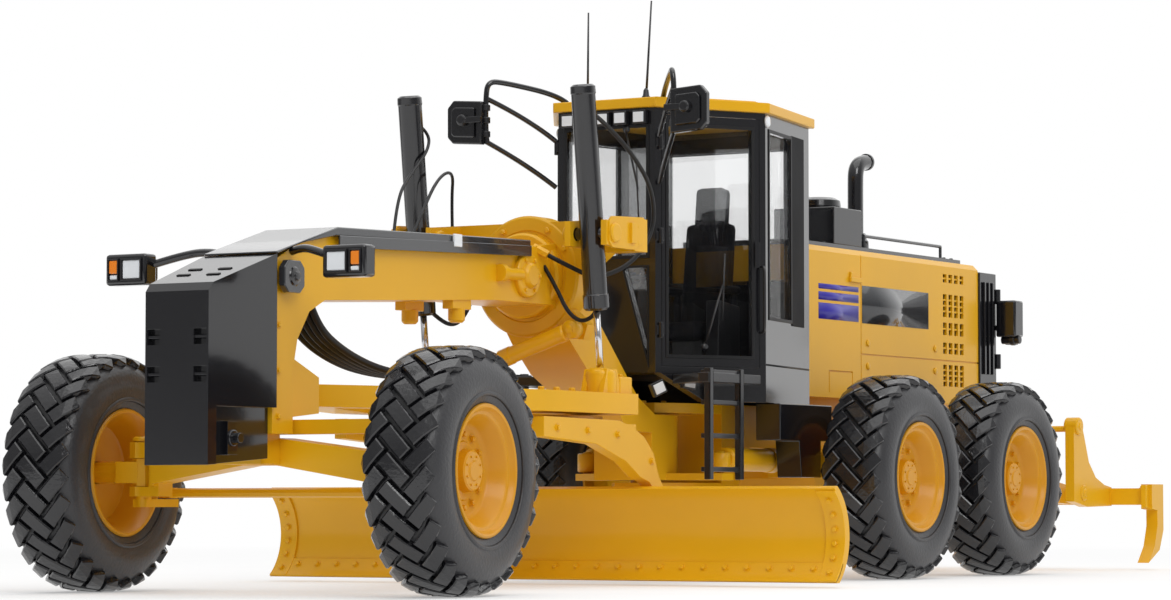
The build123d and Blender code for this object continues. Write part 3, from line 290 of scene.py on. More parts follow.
def turned(form, profile, centre, axis, segments=48):
    """A profile of (along, radius) turned about an axis."""
    axis = Vector(axis).normalized()
    first = axis.orthogonal().normalized()
    second = axis.cross(first)
    rings = []
    for along, radius in profile:
        middle = Vector(centre) + axis * along
        if radius < 1e-6:
            rings.append([form.verts.new(middle)])
        else:
            circle = around(radius, segments)
            rings.append([form.verts.new(middle + first * u + second * v) for u, v in circle])
    skin(form, rings)


def rod(form, start, end, radius, segments=28):
    span = Vector(end) - Vector(start)
    turned(form, ((0, 0), (0, radius), (span.length, radius), (span.length, 0)), start, span, segments)


def knob(form, centre, axis, radius, straight, height, top, segments=24):
    """A round head, straight up to a height and then narrowing to its top."""
    profile = (0, 0), (0, radius), (straight, radius), (height, top), (height, 0)
    turned(form, profile, centre, axis, segments)


def boss(form, centre, axis, half, radius, pin=0.5):
    """A chamfered eye or boss with its pin's head a little proud of both faces."""
    line = [
        (half - 0.18, radius), (half, radius - 0.18), (half, pin), (half + 0.05, pin),
        (half + 0.15, 0.8 * pin), (half + 0.15, 0),
    ]
    turned(form, [(-along, reach) for along, reach in line[::-1]] + line, centre, axis, 32)


def bolt(form, centre, axis, radius, height):
    """A hexagon head on a washer."""
    top = Vector(centre) + Vector(axis).normalized() * 0.3 * height
    rod(form, centre, top, 1.35 * radius, 16)
    knob(form, top, axis, radius, 0.75 * height, height, 0.72 * radius, 6)


def bolts(name, body, spots, axis, radius=0.32, height=0.32, look=YELLOW):
    made(name, body, look, *[(bolt, spot, axis, radius, height) for spot in spots], bevel=0.0, smooth=False)


def tube(name, body, points, radius, look=PLASTIC):
    """A round bar or hose along a smooth line through control points."""
    curve = bpy.data.curves.new(name, "CURVE")
    curve.dimensions = "3D"
    curve.bevel_depth = radius * MM
    curve.bevel_resolution = 4
    curve.use_fill_caps = True
    spline = curve.splines.new("NURBS")
    spline.points.add(len(points) - 1)
    for control, point in zip(spline.points, points):
        control.co = (*(Vector(point) * MM), 1.0)
    spline.order_u = 3
    spline.resolution_u = 12
    spline.use_endpoint_u = True
    curve.materials.append(look[1])
    obj = shown(name, curve)
    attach(obj, body)
    return obj


for part in frame["record"]["subparts"]:
    name = part["node"]
    if name in KEPT_NODES:
        data = frame["nodes"][name].data
        data.materials.clear()
        data.materials.append(finishes[part["material_slot"]])
        custom = data.attributes.get("custom_normal")
        if custom:
            data.attributes.remove(custom)
        data.shade_smooth()
        refine(frame["nodes"][name], OTHER_EDGES.get(name, SOFT_EDGE))

# Wheels: tyres with smooth walls and a tread of interlocking slanted bricks, and dished rims

TREAD_PITCHES = 28
TREAD_RADIUS = 13.5
TREAD_DEPTH = 0.85
GROOVE = 0.46
tread_line = (
    # across, radius
    (0.0, TREAD_RADIUS), (2.4, 13.45), (3.5, 13.2), (4.15, 12.75), (4.5, 12.1), (4.68, 11.4),
)
wall_line = (
    (0.0, 12.62), (2.4, 12.58), (3.3, 12.4), (3.95, 12.0), (4.35, 11.4), (4.6, 10.7), (4.72, 9.9),
    (4.68, 9.1), (4.45, 8.3), (4.2, 7.75), (4.05, 7.45), (3.9, 7.2), (3.72, 6.95), (3.7, 6.62),
)
bead_ring = (4.5, 8.55), (4.72, 8.35), (4.56, 8.1), (4.3, 8.0), (4.3, 8.5), (4.5, 8.55)


def on_line(line, s):
    """The point and outward direction at a distance s along a line, on the side of its sign."""
    hand = 1 if s >= 0 else -1
    left = abs(s)
    for (a0, r0), (a1, r1) in zip(line, line[1:]):
        run = sqrt((a1 - a0) ** 2 + (r1 - r0) ** 2)
        if left <= run or (a1, r1) == line[-1]:
            t = left / run
            across, radius = a0 + t * (a1 - a0), r0 + t * (r1 - r0)
            return hand * across, radius, hand * (r0 - r1) / run, (a1 - a0) / run
        left -= run


def tread_brick(form, round_middle, across_middle, slant, length, width):
    """One chamfered brick laid over the crown: its grid follows the tyre's curve."""
    chamfer, flare = 0.14, 0.1
    a, b = length / 2, width / 2
    along = (-a - flare, -a, -a + chamfer, -a / 3, a / 3, a - chamfer, a, a + flare)
    over = (-b - flare, -b, -b + chamfer, b - chamfer, b, b + flare)

    def drop(values, i):
        edge = min(i, len(values) - 1 - i)
        return (TREAD_DEPTH + 0.25, chamfer)[edge] if edge < 2 else 0.0

    grid = []
    for i, p in enumerate(along):
        row = []
        for j, q in enumerate(over):
            u = round_middle + (p * cos(slant) - q * sin(slant))
            s = across_middle + (p * sin(slant) + q * cos(slant))
            across, radius, lean, rise = on_line(tread_line, s)
            down = max(drop(along, i), drop(over, j))
            across, radius = across - lean * down, radius - rise * down
            angle = u / TREAD_RADIUS
            row.append(form.verts.new((radius * cos(angle), radius * sin(angle), across)))
        grid.append(row)
    skin(form, grid, closed=False)


def tyre_mesh():
    form = bmesh.new()
    pitch = 2 * pi * TREAD_RADIUS / TREAD_PITCHES
    brick = pitch / sqrt(2)
    for column in (-1, 0, 1):
        slant = radians(45 if column == 0 else -45)
        shift = 0.0 if column == 0 else 0.5
        for k in range(TREAD_PITCHES):
            tread_brick(form, (k + shift) * pitch, column * pitch, slant, 2 * brick - GROOVE, brick - GROOVE)
    bricks = len(form.faces)
    profile = [(-across, radius) for across, radius in reversed(wall_line)] + list(wall_line[1:])
    turned(form, profile, (0, 0, 0), Z_AXIS, 112)
    for hand in (-1, 1):
        turned(form, [(hand * across, radius) for across, radius in bead_ring], (0, 0, 0), Z_AXIS, 96)
    mesh = mesh_from(form, "tyre_master", TYRE[1], TREAD[1])
    for face in mesh.polygons:
        face.material_index = 1 if face.index < bricks else 0
        face.use_smooth = face.index >= bricks
    return mesh


def rim_mesh():
    """Deep dish with a flat disc, a ring of nuts and a stepped hub cap, outer face to +Z."""
    form = bmesh.new()
    turned(form, (
        (2.75, 0), (2.75, 1.0), (2.6, 1.15), (2.6, 2.0), (2.45, 2.2), (1.5, 2.35), (1.38, 2.6), (1.38, 3.1),
        (1.2, 3.25), (1.2, 4.75), (1.35, 5.05), (1.7, 5.35), (3.3, 5.85), (3.55, 6.1), (3.6, 6.4),
        (3.85, 6.62), (4.2, 6.8), (4.28, 7.0), (4.2, 7.2), (4.0, 7.28), (3.72, 7.15), (3.7, 6.6),
        (-3.7, 6.6), (-3.72, 7.15), (-4.0, 7.28), (-4.2, 7.1), (-4.15, 6.8), (-3.6, 6.35), (-2.4, 5.9),
        (-0.3, 5.5), (-0.1, 5.1), (-0.1, 1.3),
    ), (0, 0, 0), Z_AXIS, 96)
    for x, y in around(3.95, 12):
        bolt(form, (x, y, 1.15), Z_AXIS, 0.34, 0.42)
    for x, y in around(1.62, 8, 0.5):
        bolt(form, (x, y, 2.55), Z_AXIS, 0.14, 0.16)
    mesh = mesh_from(form, "rim_master", RIM_SHADED[1])
    mesh.shade_smooth()
    return mesh


tyre_master, rim_master = tyre_mesh(), rim_mesh()
for place in ("front", "middle", "rear"):
    for which, hand in SIDES:
        body = f"wheel_{place}_{which}"
        # a wheel's outer face is to +Z where its mesh is made
        out = Vector(joints[body]["axis"]).normalized() * hand
        first = Vector(Z_AXIS).cross(out).normalized()
        turn = Matrix((first, out.cross(first), out)).transposed().to_4x4()
        for kind, master, look in (("tyre", tyre_master, TYRE), ("rim", rim_master, RIM_SHADED)):
            obj = shown(f"{kind}_{place}_{which}_dressed", master)
            obj.matrix_world = Matrix.Translation(joints[body]["pos_m"]) @ turn
            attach(obj, body)
            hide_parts(f"{kind}_{place}_{which}")
            if kind == "rim":
                soften(obj, 0.06, 35.0, 1)

# Hydraulic cylinders: a barrel with a base and a gland, a bright rod and their eyes

LIFT_X, TRUNNION_BEHIND, TRUNNION_Z, LIFT_EYE_BEHIND, LIFT_EYE_Z = 12.5, 48.8, 42.5, 50.9, 25.2
LIFT_TOP, LIFT_MOUTH = 60.4, 33.3
RIPPER_PIN, RIPPER_EYE = at(0.0, 163.0, 23.4), at(0.0, 176.5, 20.4)
SHIFT_PIN, SHIFT_EYE = at(7.6, 52.4, 31.2), at(-7.8, 52.4, 26.0)
TURN_X, TURN_Z, TURN_FRONT, TURN_REAR = 10.0, 15.7, 85.5, 110.5

lift_lean = (LIFT_EYE_BEHIND - TRUNNION_BEHIND) / (LIFT_EYE_Z - TRUNNION_Z)


def on_lift(hand, z):
    return at(hand * LIFT_X, TRUNNION_BEHIND + lift_lean * (z - TRUNNION_Z), z)


cylinder_table = [
    # name, look, barrel's base pin, rod's eye, barrel from and to along that line, barrel radius, rod radius
    ("shift", YELLOW, SHIFT_PIN, SHIFT_EYE, 0.9, 11.0, 1.1, 0.45),
    ("ripper", YELLOW, RIPPER_PIN, RIPPER_EYE, 0.8, 8.4, 1.3, 0.45),
]
eye_table = [
    # name, body, look, centre, axis, half length, radius
    ("shift_base", "shift_barrel", YELLOW, SHIFT_PIN, Y_AXIS, 0.8, 1.15),
    ("shift_tip", "shift_rod", YELLOW, SHIFT_EYE, Y_AXIS, 0.4, 1.1),
    ("ripper_base", "ripper_barrel", YELLOW, RIPPER_PIN, X_AXIS, 1.2, 1.2),
    ("ripper_tip", "ripper_rod", YELLOW, RIPPER_EYE, X_AXIS, 0.7, 1.0),
]
for which, hand in SIDES:
    lift, turn = f"lift_{which}", f"turn_{which}"
    lift_top, lift_eye = on_lift(hand, LIFT_TOP), at(hand * LIFT_X, LIFT_EYE_BEHIND, LIFT_EYE_Z)
    lift_length = (on_lift(hand, LIFT_MOUTH) - lift_top).length
    turn_front, turn_rear = (at(hand * TURN_X, behind, TURN_Z) for behind in (TURN_FRONT, TURN_REAR))
    cylinder_table += [
        (lift, BLACK, lift_top, lift_eye, 0.0, lift_length, 1.55, 0.42),
        (turn, YELLOW, turn_front, turn_rear, 1.0, 14.5, 1.6, 0.45),
    ]
    eye_table += [
        (f"{lift}_collar", f"{lift}_barrel", BLACK, on_lift(hand, TRUNNION_Z), X_AXIS, 2.9, 0.75),
        (f"{lift}_tip", f"{lift}_rod", YELLOW, lift_eye, X_AXIS, 0.75, 1.1),
        (f"{turn}_base", f"{turn}_barrel", YELLOW, turn_front + Vector((0, 0, -0.35)), Z_AXIS, 1.25, 1.3),
        (f"{turn}_tip", f"{turn}_rod", YELLOW, turn_rear, Z_AXIS, 0.8, 1.3),
    ]

for name, look, base, tip, start, end, radius, rod_radius in cylinder_table:
    along = (tip - base).normalized()
    length = end - start
    profile = (
        (0, 0), (0, 0.75 * radius), (0.25, 0.98 * radius), (1.1, radius), (1.25, 0.95 * radius),
        (length - 2.0, 0.95 * radius), (length - 1.85, 1.03 * radius), (length - 0.3, 1.03 * radius),
        (length, 0.85 * radius), (length, rod_radius + 0.1), (length - 0.4, rod_radius),
    )
    made(f"{name}_barrel_tube", f"{name}_barrel", look, (turned, profile, base + along * start, along),
         bevel=0.05, stands_for=f"{name}_barrel")
    made(f"{name}_rod_bar", f"{name}_rod", CHROME, (rod, base + along * (end - 1.0), tip, rod_radius),
         bevel=0.0, stands_for=f"{name}_rod")
for name, body, look, centre, axis, half, radius in eye_table:
    made(f"{name}_eye", body, look, (boss, centre, axis, half, radius, 0.45 * radius), bevel=0.0)

# Hoses. The first is the part's own cord: its points are those of the source.

lift_hose = (
    # left, behind, up
    (12.5, 49.6, 56.9), (12.6, 52.6, 55.8), (12.9, 58.4, 52.6), (12.7, 63.2, 48.8), (12.2, 64.6, 44.0),
    (11.2, 60.9, 39.6), (9.6, 55.0, 37.4), (8.2, 51.4, 38.6), (5.4, 50.4, 40.2),
)
hose = tube("lift_hose_rubber", "lift_left_barrel", [at(*point) for point in lift_hose], 0.28, RUBBER)
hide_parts("lift_hose_left")

lower_hose = (
    (12.5, 49.6, 34.9), (11.8, 51.6, 33.2), (9.4, 51.8, 31.9), (7.4, 51.6, 33.2), (5.8, 51.5, 36.4),
    (4.2, 51.3, 39.0),
)
short_hoses = (
    # name, body, hand, radius, points of outward, behind, up
    ("lower_left", "lift_left_barrel", 1, 0.26, lower_hose),
    ("lower_right", "lift_right_barrel", -1, 0.26, lower_hose),
    ("upper_right", "lift_right_barrel", -1, 0.2, (
        (12.5, 48.9, 56.9), (12.2, 50.8, 56.0), (10.9, 48.4, 53.6), (9.4, 42.5, 50.4), (6.6, 35.0, 46.6),
        (4.9, 31.8, 41.2),
    )),
    ("saddle_right", FRONT, -1, 0.2, (
        (4.6, 35.2, 41.4), (5.2, 38.2, 44.8), (8.0, 46.4, 50.2), (10.6, 53.8, 51.6), (11.6, 54.9, 48.0),
        (11.4, 54.8, 44.2),
    )),
)
for name, body, hand, radius, points in short_hoses:
    tube(f"hose_{name}", body, [at(hand * x, behind, z) for x, behind, z in points], radius, RUBBER)
bundle_points = (
    # share of the hose's place in the bundle, left, behind, up
    (0.9, 0.0, 4.6, 33.4), (0.9, 0.0, 6.2, 30.0), (0.95, 0.0, 12.0, 27.0), (0.9, 1.0, 19.0, 25.0),
    (0.6, 5.0, 25.5, 24.5), (0.5, 9.2, 30.0, 24.3),
)
for i in range(5):
    points = [at(share * (i - 2) + x, behind, z) for share, x, behind, z in bundle_points]
    tube(f"hose_bundle_{i + 1}", "drawbar", points, 0.42, RUBBER)
made("hose_manifold", "drawbar", YELLOW, (block, plan(23.2), (9.4, 30.8), (4.4, 1.8), 2.0))

# Lift saddle: the smooth rim of its disc, the forks' caps and their bolts

SADDLE_BEHIND, SADDLE_Z, SADDLE_FACE, SADDLE_BOLTS = 57.0, 38.0, 53.85, 6.45
BEAM_CAP_BEHIND, BEAM_CAP_Z = 46.8, 37.6
fork_plate = (
    (47.6, 41.4), (48.4, 40.7), (53.6, 40.7), (55.6, 41.6), (56.6, 43.2), (56.6, 44.0), (55.8, 44.8),
    (48.4, 44.5), (47.6, 43.8),
)
made("saddle_rim", FRONT, YELLOW, (turned, (
    (0.12, 0), (0.12, 7.2), (-0.1, 7.5), (-2.9, 7.5), (-3.15, 7.2), (-3.15, 5.7), (-2.9, 5.5), (-2.9, 5.3),
    (-4.1, 5.3), (-4.4, 5.0), (-4.4, 0),
), at(0.0, SADDLE_BEHIND, SADDLE_Z), Y_AXIS, 96))
bolts("saddle_front_bolts", FRONT, [
    at(SADDLE_BOLTS * cos(radians(turn)), SADDLE_FACE, SADDLE_Z + SADDLE_BOLTS * sin(radians(turn)))
    for turn in (-150, -30, 30, 60, 120, 150)
], (0, -1, 0), 0.36, 0.3)
for which, hand in SIDES:
    out = (hand, 0, 0)
    collar = (-0.45, 0), (-0.45, 1.0), (-0.3, 1.2), (0.3, 1.2), (0.45, 1.0), (0.45, 0)
    made(f"fork_caps_{which}", FRONT, YELLOW, *[
        (turned, collar, at(hand * x, TRUNNION_BEHIND, TRUNNION_Z), X_AXIS, 32) for x in (9.4, 15.6)
    ], (prism, side(hand * 15.3), fork_plate, hand * 0.4),
        (block, side(hand * 15.5), (52.9, 42.7), (1.0, 2.5), hand * 0.55))
    bolts(f"fork_bolts_{which}", FRONT, [
        at(hand * 15.4, behind, z) for behind in (52.4, 54.6) for z in (41.6, 43.6)
    ], out, 0.28, 0.25)
    # the cap on the beam's side, with its bolts and the pipe stub beside it
    cap = (0, 0), (0, 2.7), (0.5, 2.7), (0.7, 2.5), (0.7, 1.6), (1.0, 1.5), (1.3, 1.2), (1.3, 0)
    made(f"beam_cap_{which}", FRONT, YELLOW,
         (turned, cap, at(hand * 4.3, BEAM_CAP_BEHIND, BEAM_CAP_Z), out, 48),
         (rod, at(hand * 4.7, 41.0, BEAM_CAP_Z), at(hand * 4.7, 45.0, BEAM_CAP_Z), 0.75),
         (rod, at(hand * 4.7, 40.2, BEAM_CAP_Z), at(hand * 4.7, 41.2, BEAM_CAP_Z), 1.05))
    bolts(f"beam_cap_bolts_{which}", FRONT, [
        at(hand * 4.95, BEAM_CAP_BEHIND + u, BEAM_CAP_Z + v) for u, v in around(2.1, 6)
    ], out, 0.26, 0.25)
    # the folded bracket under the beam, ahead of the saddle
    made(f"beam_bracket_{which}", FRONT, YELLOW,
         (block, side(hand * 2.6), (33.0, 33.6), (4.0, 1.4), hand * 1.5),
         (knob, at(hand * 3.3, 33.0, 33.0), (0, 0, -1), 1.0, 1.4, 1.7, 0.7))

# Nose: dark blocks for the slots on the slope, the lamp arms' round bosses, the towing pins and bolts

NOSE_FRONT, NOSE_REAR, SLOPE_LOW, SLOPE_HIGH = -16.2, -5.6, 33.6, 37.2
slope = Vector((NOSE_REAR - NOSE_FRONT, SLOPE_HIGH - SLOPE_LOW)).normalized()


def on_slope(u, v, w):
    """On the nose's sloping top: u is to the left, v runs up the slope, and w stands off it."""
    return at(u, NOSE_FRONT + v * slope.x - w * slope.y, SLOPE_LOW + v * slope.y + w * slope.x)


# the slots are dark blocks: a painted shade of their openings
made("nose_slot_shade", FRONT, RUBBER, *[
    (block, on_slope, (u, v), (1.7, 0.5), 0.12) for u in (-2.0, 2.0) for v in (3.2, 5.4)
])
lamp_boss = (0, 0), (0, 1.25), (0.35, 1.2), (0.6, 0.95), (0.7, 0.5), (0.95, 0.45), (1.0, 0)
for which, hand in SIDES:
    out = (hand, 0, 0)
    made(f"lamp_boss_{which}", FRONT, BLACK, (turned, lamp_boss, at(hand * 5.2, -3.2, 34.8), out, 40))
    made(f"towing_pin_{which}", FRONT, BLACK,
         (rod, at(hand * 3.6, -13.5, 17.0), at(hand * 6.0, -13.5, 17.0), 0.55),
         (knob, at(hand * 4.6, -13.5, 17.0), out, 0.9, 0.5, 0.6, 0.7))
    bolts(f"nose_bolts_{which}", FRONT, [at(hand * 4.3, -4.4, z) for z in (19.5, 24.5, 29.5)], out, 0.3, 0.25)

# Lamps: cases on bent arms, a clear lens and an amber one side by side

LAMP_BACK, LAMP_FACE, LAMP_Z = -4.9, -7.0, 36.0
CLEAR_X, AMBER_X = 13.8, 16.3
for which, hand in SIDES:
    face, bezel, back = front(LAMP_FACE), front(LAMP_FACE - 0.05), front(LAMP_BACK)
    case = made(
        f"headlamp_case_{which}", FRONT, GLOSS, (block, back, (hand * 14.7, LAMP_Z), (5.6, 3.5), -2.2),
        (block, back, (hand * 13.4, LAMP_Z), (2.4, 2.6), 0.7), bevel=0.55)
    made(f"headlamp_bezel_{which}", FRONT, PLASTIC,
         (ring_frame, bezel, rectangle((hand * CLEAR_X, LAMP_Z), (2.9, 2.5)), 0.2, -0.3),
         (ring_frame, bezel, rectangle((hand * AMBER_X, LAMP_Z), (1.5, 2.5)), 0.15, -0.3), bevel=0.05)
    made(f"headlamp_lens_{which}", FRONT, LENS,
         (block, face, (hand * CLEAR_X, LAMP_Z), (2.4, 2.05), -0.22),
         (block, face, (hand * 16.25, 35.15), (1.1, 0.5), -0.22), bevel=0.16)
    made(f"headlamp_amber_{which}", FRONT, AMBER, (block, face, (hand * AMBER_X, 36.3), (1.15, 1.5), -0.3),
         bevel=0.28)
    arm = (4.8, -2.6, 37.6), (6.4, -3.0, 38.0), (9.5, -4.4, 37.4), (12.8, -5.4, 36.4)
    tube(f"headlamp_arm_{which}", FRONT, [at(hand * x, behind, z) for x, behind, z in arm], 0.46, GLOSS)
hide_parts("headlamps")

# The black plate over the beam with the lamp arms' plates, a pale clip for the hoses and the edge trim

deck_outline = (
    (5.5, 39.82), (47.0, 41.02), (47.0, 41.9), (6.0, 40.85), (-5.7, 37.45), (-5.5, 37.2), (-3.6, 37.8),
    (-1.0, 38.6),
)
lamp_plate = (
    (-5.1, 33.8), (-4.3, 33.0), (-2.1, 33.0), (-1.3, 33.8), (-1.3, 35.8), (-2.1, 36.6), (-4.3, 36.6),
    (-5.1, 35.8),
)
made("beam_deck", FRONT, GREY, (prism, side(-5.0), deck_outline, 10.0), *[
    (prism, side(hand * 4.75), lamp_plate, hand * 0.9) for hand in (-1, 1)
], bevel=0.25, stands_for="frame_deck")
made("hose_clip", FRONT, LENS, (block, side(5.05), (30.2, 40.8), (1.7, 1.5), 0.35), bevel=0.1)
for which, hand in SIDES:
    made(f"deck_trim_{which}", FRONT, GREY, (
        prism, side(hand * 5.0), ((6.0, 38.5), (46.8, 39.9), (46.8, 41.2), (6.0, 39.9)), hand * 0.25))

# Blade: cutting edge, end bits and their bolts, on the curve of its face

BLADE_HALF, END_BIT, EDGE_BOLTS = 41.0, 2.6, 26


def circle_through(*points):
    """Centre and radius of the circle through three points of a plane."""
    a, b, c = (complex(*point) for point in points)
    w = (c - a) / (b - a)
    centre = a + (b - a) * (w - abs(w) ** 2) / (2j * w.imag)
    return centre.real, centre.imag, abs(a - centre)


blade_u, blade_v, blade_radius = circle_through((57.3, 0.6), (59.9, 5.4), (56.9, 11.8))


def on_blade(x, z, stand=0.0):
    """A point on the blade's hollow face and the direction out of it."""
    reach = sqrt(blade_radius ** 2 - (z - blade_v) ** 2)
    out = Vector((0, -reach, blade_v - z)) / blade_radius
    return at(x, blade_u + reach, z) + out * stand, out


def blade_plate(form, x0, x1, z0, z1, stand, rows=8):
    """A plate that lies on the blade's hollow face."""
    grid = []
    for i in range(rows + 1):
        z = z0 + (z1 - z0) * i / rows
        corners = (x0, 0), (x0, stand), (x1, stand), (x1, 0)
        grid.append([form.verts.new(on_blade(x, z, w)[0]) for x, w in corners])
    skin(form, grid, closed=False)
    form.faces.new(grid[0])
    form.faces.new(grid[-1])


def blade_bolt(form, x, z, stand):
    bolt(form, *on_blade(x, z, stand), 0.34, 0.3)


made("cutting_edge", "blade", YELLOW, (blade_plate, -BLADE_HALF, BLADE_HALF, 0.62, 2.9, 0.22), *[
    (blade_plate, hand * (BLADE_HALF - END_BIT), hand * BLADE_HALF, 0.62, 11.6, 0.3, 20) for hand in (-1, 1)
])
made("blade_bolts", "blade", YELLOW, *[
    (blade_bolt, (BLADE_HALF - END_BIT - 1.0) * (2 * k / (EDGE_BOLTS - 1) - 1), 2.1, 0.2)
    for k in range(EDGE_BOLTS)
], *[
    (blade_bolt, hand * (BLADE_HALF - END_BIT / 2), z, 0.28)
    for hand in (-1, 1) for z in (1.6, 3.4, 5.2, 7.0, 8.8, 10.6)
], bevel=0.0, smooth=False)

# Drawbar and circle: bolts, the ring's inner teeth, and drums and blocks at the lift eyes

TEETH, RING_INNER, RING_BEHIND, TOOTH_Z = 60, 9.8, 46.0, 18.4
EYE_BLOCK_Z = 22.95


def ring_lay(turn):
    """On the ring's inner edge: u runs along it, v points to its middle, and w goes up."""
    return lambda u, v, w: at(
        (RING_INNER - v) * cos(turn) - u * sin(turn),
        RING_BEHIND + (RING_INNER - v) * sin(turn) + u * cos(turn), TOOTH_Z + w)


bolts("drawbar_bolts", "drawbar", [
    at(hand * x, behind, 23.3)
    for hand in (-1, 1)
    for x, behind in ((13.2, 36.0), (13.2, 39.5), (13.2, 43.0), (13.6, 55.0), (8.0, 56.6), (3.0, 56.6))
], Z_AXIS, 0.42, 0.35)
made("ring_teeth", "circle", YELLOW, *[
    (prism, ring_lay(2 * pi * k / TEETH), ((-0.32, -0.1), (0.32, -0.1), (0.16, 0.6), (-0.16, 0.6)), 1.9)
    for k in range(TEETH)
], bevel=0.0, smooth=False)
for which, hand in SIDES:
    bolts(f"arm_bolts_{which}", "circle", [
        at(hand * 14.8, behind, z)
        for behind, z in ((37.0, 18.9), (44.0, 18.7), (51.0, 18.3), (59.2, 15.2), (61.9, 8.8))
    ], (hand, 0, 0), 0.34, 0.3)
    block_behind = LIFT_EYE_BEHIND + 3.2
    bolts(f"eye_bolts_{which}", "drawbar", [at(hand * x, block_behind, 25.35) for x in (11.6, 13.4)], Z_AXIS,
          0.3, 0.25)
    drum = (0, 0), (0, 1.95), (2.6, 1.95), (3.1, 1.75), (3.4, 1.25), (3.4, 0.75), (2.6, 0.7), (2.6, 0)
    made(f"eye_block_{which}", "drawbar", YELLOW,
         (turned, drum, at(hand * LIFT_X, LIFT_EYE_BEHIND, EYE_BLOCK_Z), Z_AXIS, 40),
         (block, plan(EYE_BLOCK_Z), (hand * LIFT_X, block_behind), (3.4, 3.0), 2.4), bevel=0.2)

# Cab: its walls as in the part's source, with window seals, door hinges, rails and wipers

CAB_FRONT, CAB_MID, CAB_REAR = (7.2, 73.5), (15.6, 87.5), (11.6, 107.4)
CAB_TOP, CAB_FLOOR, SEAT_BEHIND = 60.4, 27.8, 97.0
cab_left = (CAB_FRONT, CAB_MID, CAB_REAR)
cab_plan = (*cab_left, *[(-x, behind) for x, behind in reversed(cab_left)])


def wall(index, stand=0.0):
    """A cab wall: u runs along it, v is height, and w goes out of the cab."""
    start, end = Vector(cab_plan[index]), Vector(cab_plan[(index + 1) % 6])
    run = (end - start).normalized()
    out = Vector((run.y, -run.x))
    return lambda u, v, w: at(*(start + run * u + out * (w + stand)), v)


def wiper(form, index, pivot, arm, blade):
    """A wiper on a cab wall: its pivot, and both ends of its arm and of its blade."""
    raised, foot = wall(index, 0.25), wall(index)(*pivot, 0)
    rod(form, raised(*arm[0], 0), raised(*arm[1], 0), 0.13)
    rod(form, raised(*blade[0], 0.05), raised(*blade[1], 0.05), 0.11)
    turned(form, ((0, 0), (0, 0.5), (0.35, 0.4), (0.4, 0)), foot, wall(index)(*pivot, 1) - foot, 20)


DOOR, REAR_SIDE = ((Vector(b) - Vector(a)).length for a, b in zip(cab_left, cab_left[1:]))
panes = (
    # name, wall, lower corner, upper corner
    ("front", 5, (1.2, 41.5), (13.2, 58.0)),
    ("door_left", 0, (1.8, 28.8), (DOOR - 2.0, 58.2)),
    ("side_left", 1, (1.6, 34.0), (11.6, 58.2)),
    ("rear", 2, (2.0, 40.0), (21.2, 57.6)),
    ("side_right", 3, (REAR_SIDE - 11.6, 34.0), (REAR_SIDE - 1.6, 58.2)),
    ("door_right", 4, (2.0, 28.8), (DOOR - 1.8, 58.2)),
)
for name, index, low, high in panes:
    made(f"seal_{name}", REAR, RUBBER, (ring_frame, wall(index, -0.05), spanned(low, high, 0.3), 0.42, 0.17),
         bevel=0.04)
made("seal_front_low", REAR, RUBBER, *[
    (ring_frame, wall(5, -0.05), corners, -0.28, 0.17)
    for corners in (((1.2, 40.0), (4.6, 40.0), (1.2, 28.6)), ((9.8, 40.0), (13.2, 40.0), (13.2, 28.6)))
], bevel=0.04)

for which, index, rear_u in (("left", 0, DOOR - 0.7), ("right", 4, 0.7)):
    front_u, middle = DOOR - rear_u, DOOR / 2
    flat, raised = wall(index), wall(index, 0.25)
    made(f"door_hinges_{which}", REAR, BLACK, *[
        form for z in (32.0, 44.0, 56.0) for form in (
            (rod, raised(front_u, z - 1.0, 0), raised(front_u, z + 1.0, 0), 0.3),
            (block, flat, (front_u, z), (1.3, 1.2), 0.22),
        )
    ])
    rail = (32.0, 0.0), (32.0, 0.8), (33.0, 0.9), (39.5, 0.9), (40.5, 0.8), (40.5, 0.0)
    tube(f"grab_rail_{which}", REAR, [flat(rear_u, z, w) for z, w in rail], 0.2)
    made(f"wiper_{which}", REAR, PLASTIC, (
        wiper, index, (middle - 1.0, 30.0), ((middle - 1.0, 30.2), (middle + 1.6, 38.0)),
        ((middle + 1.5, 33.4), (middle + 1.9, 42.0)),
    ), bevel=0.0)
made("wipers_front", REAR, PLASTIC, *[
    (wiper, 5, (u, 57.8), ((u, 57.6), (u + 1.8, 50.0)), ((u + 1.6, 53.6), (u + 1.9, 46.4)))
    for u in (4.2, 10.2)
], bevel=0.0)

# Inside the cab: the seat, its armrests and levers, the steering wheel on its column, and a monitor


def lever(form, x, behind):
    tip = at(x, behind - 0.4, 46.2)
    rod(form, at(x, behind, 43.4), tip, 0.15, 12)
    turned(form, ((-0.6, 0), (-0.5, 0.3), (0, 0.42), (0.5, 0.32), (0.6, 0)), tip, Z_AXIS, 16)


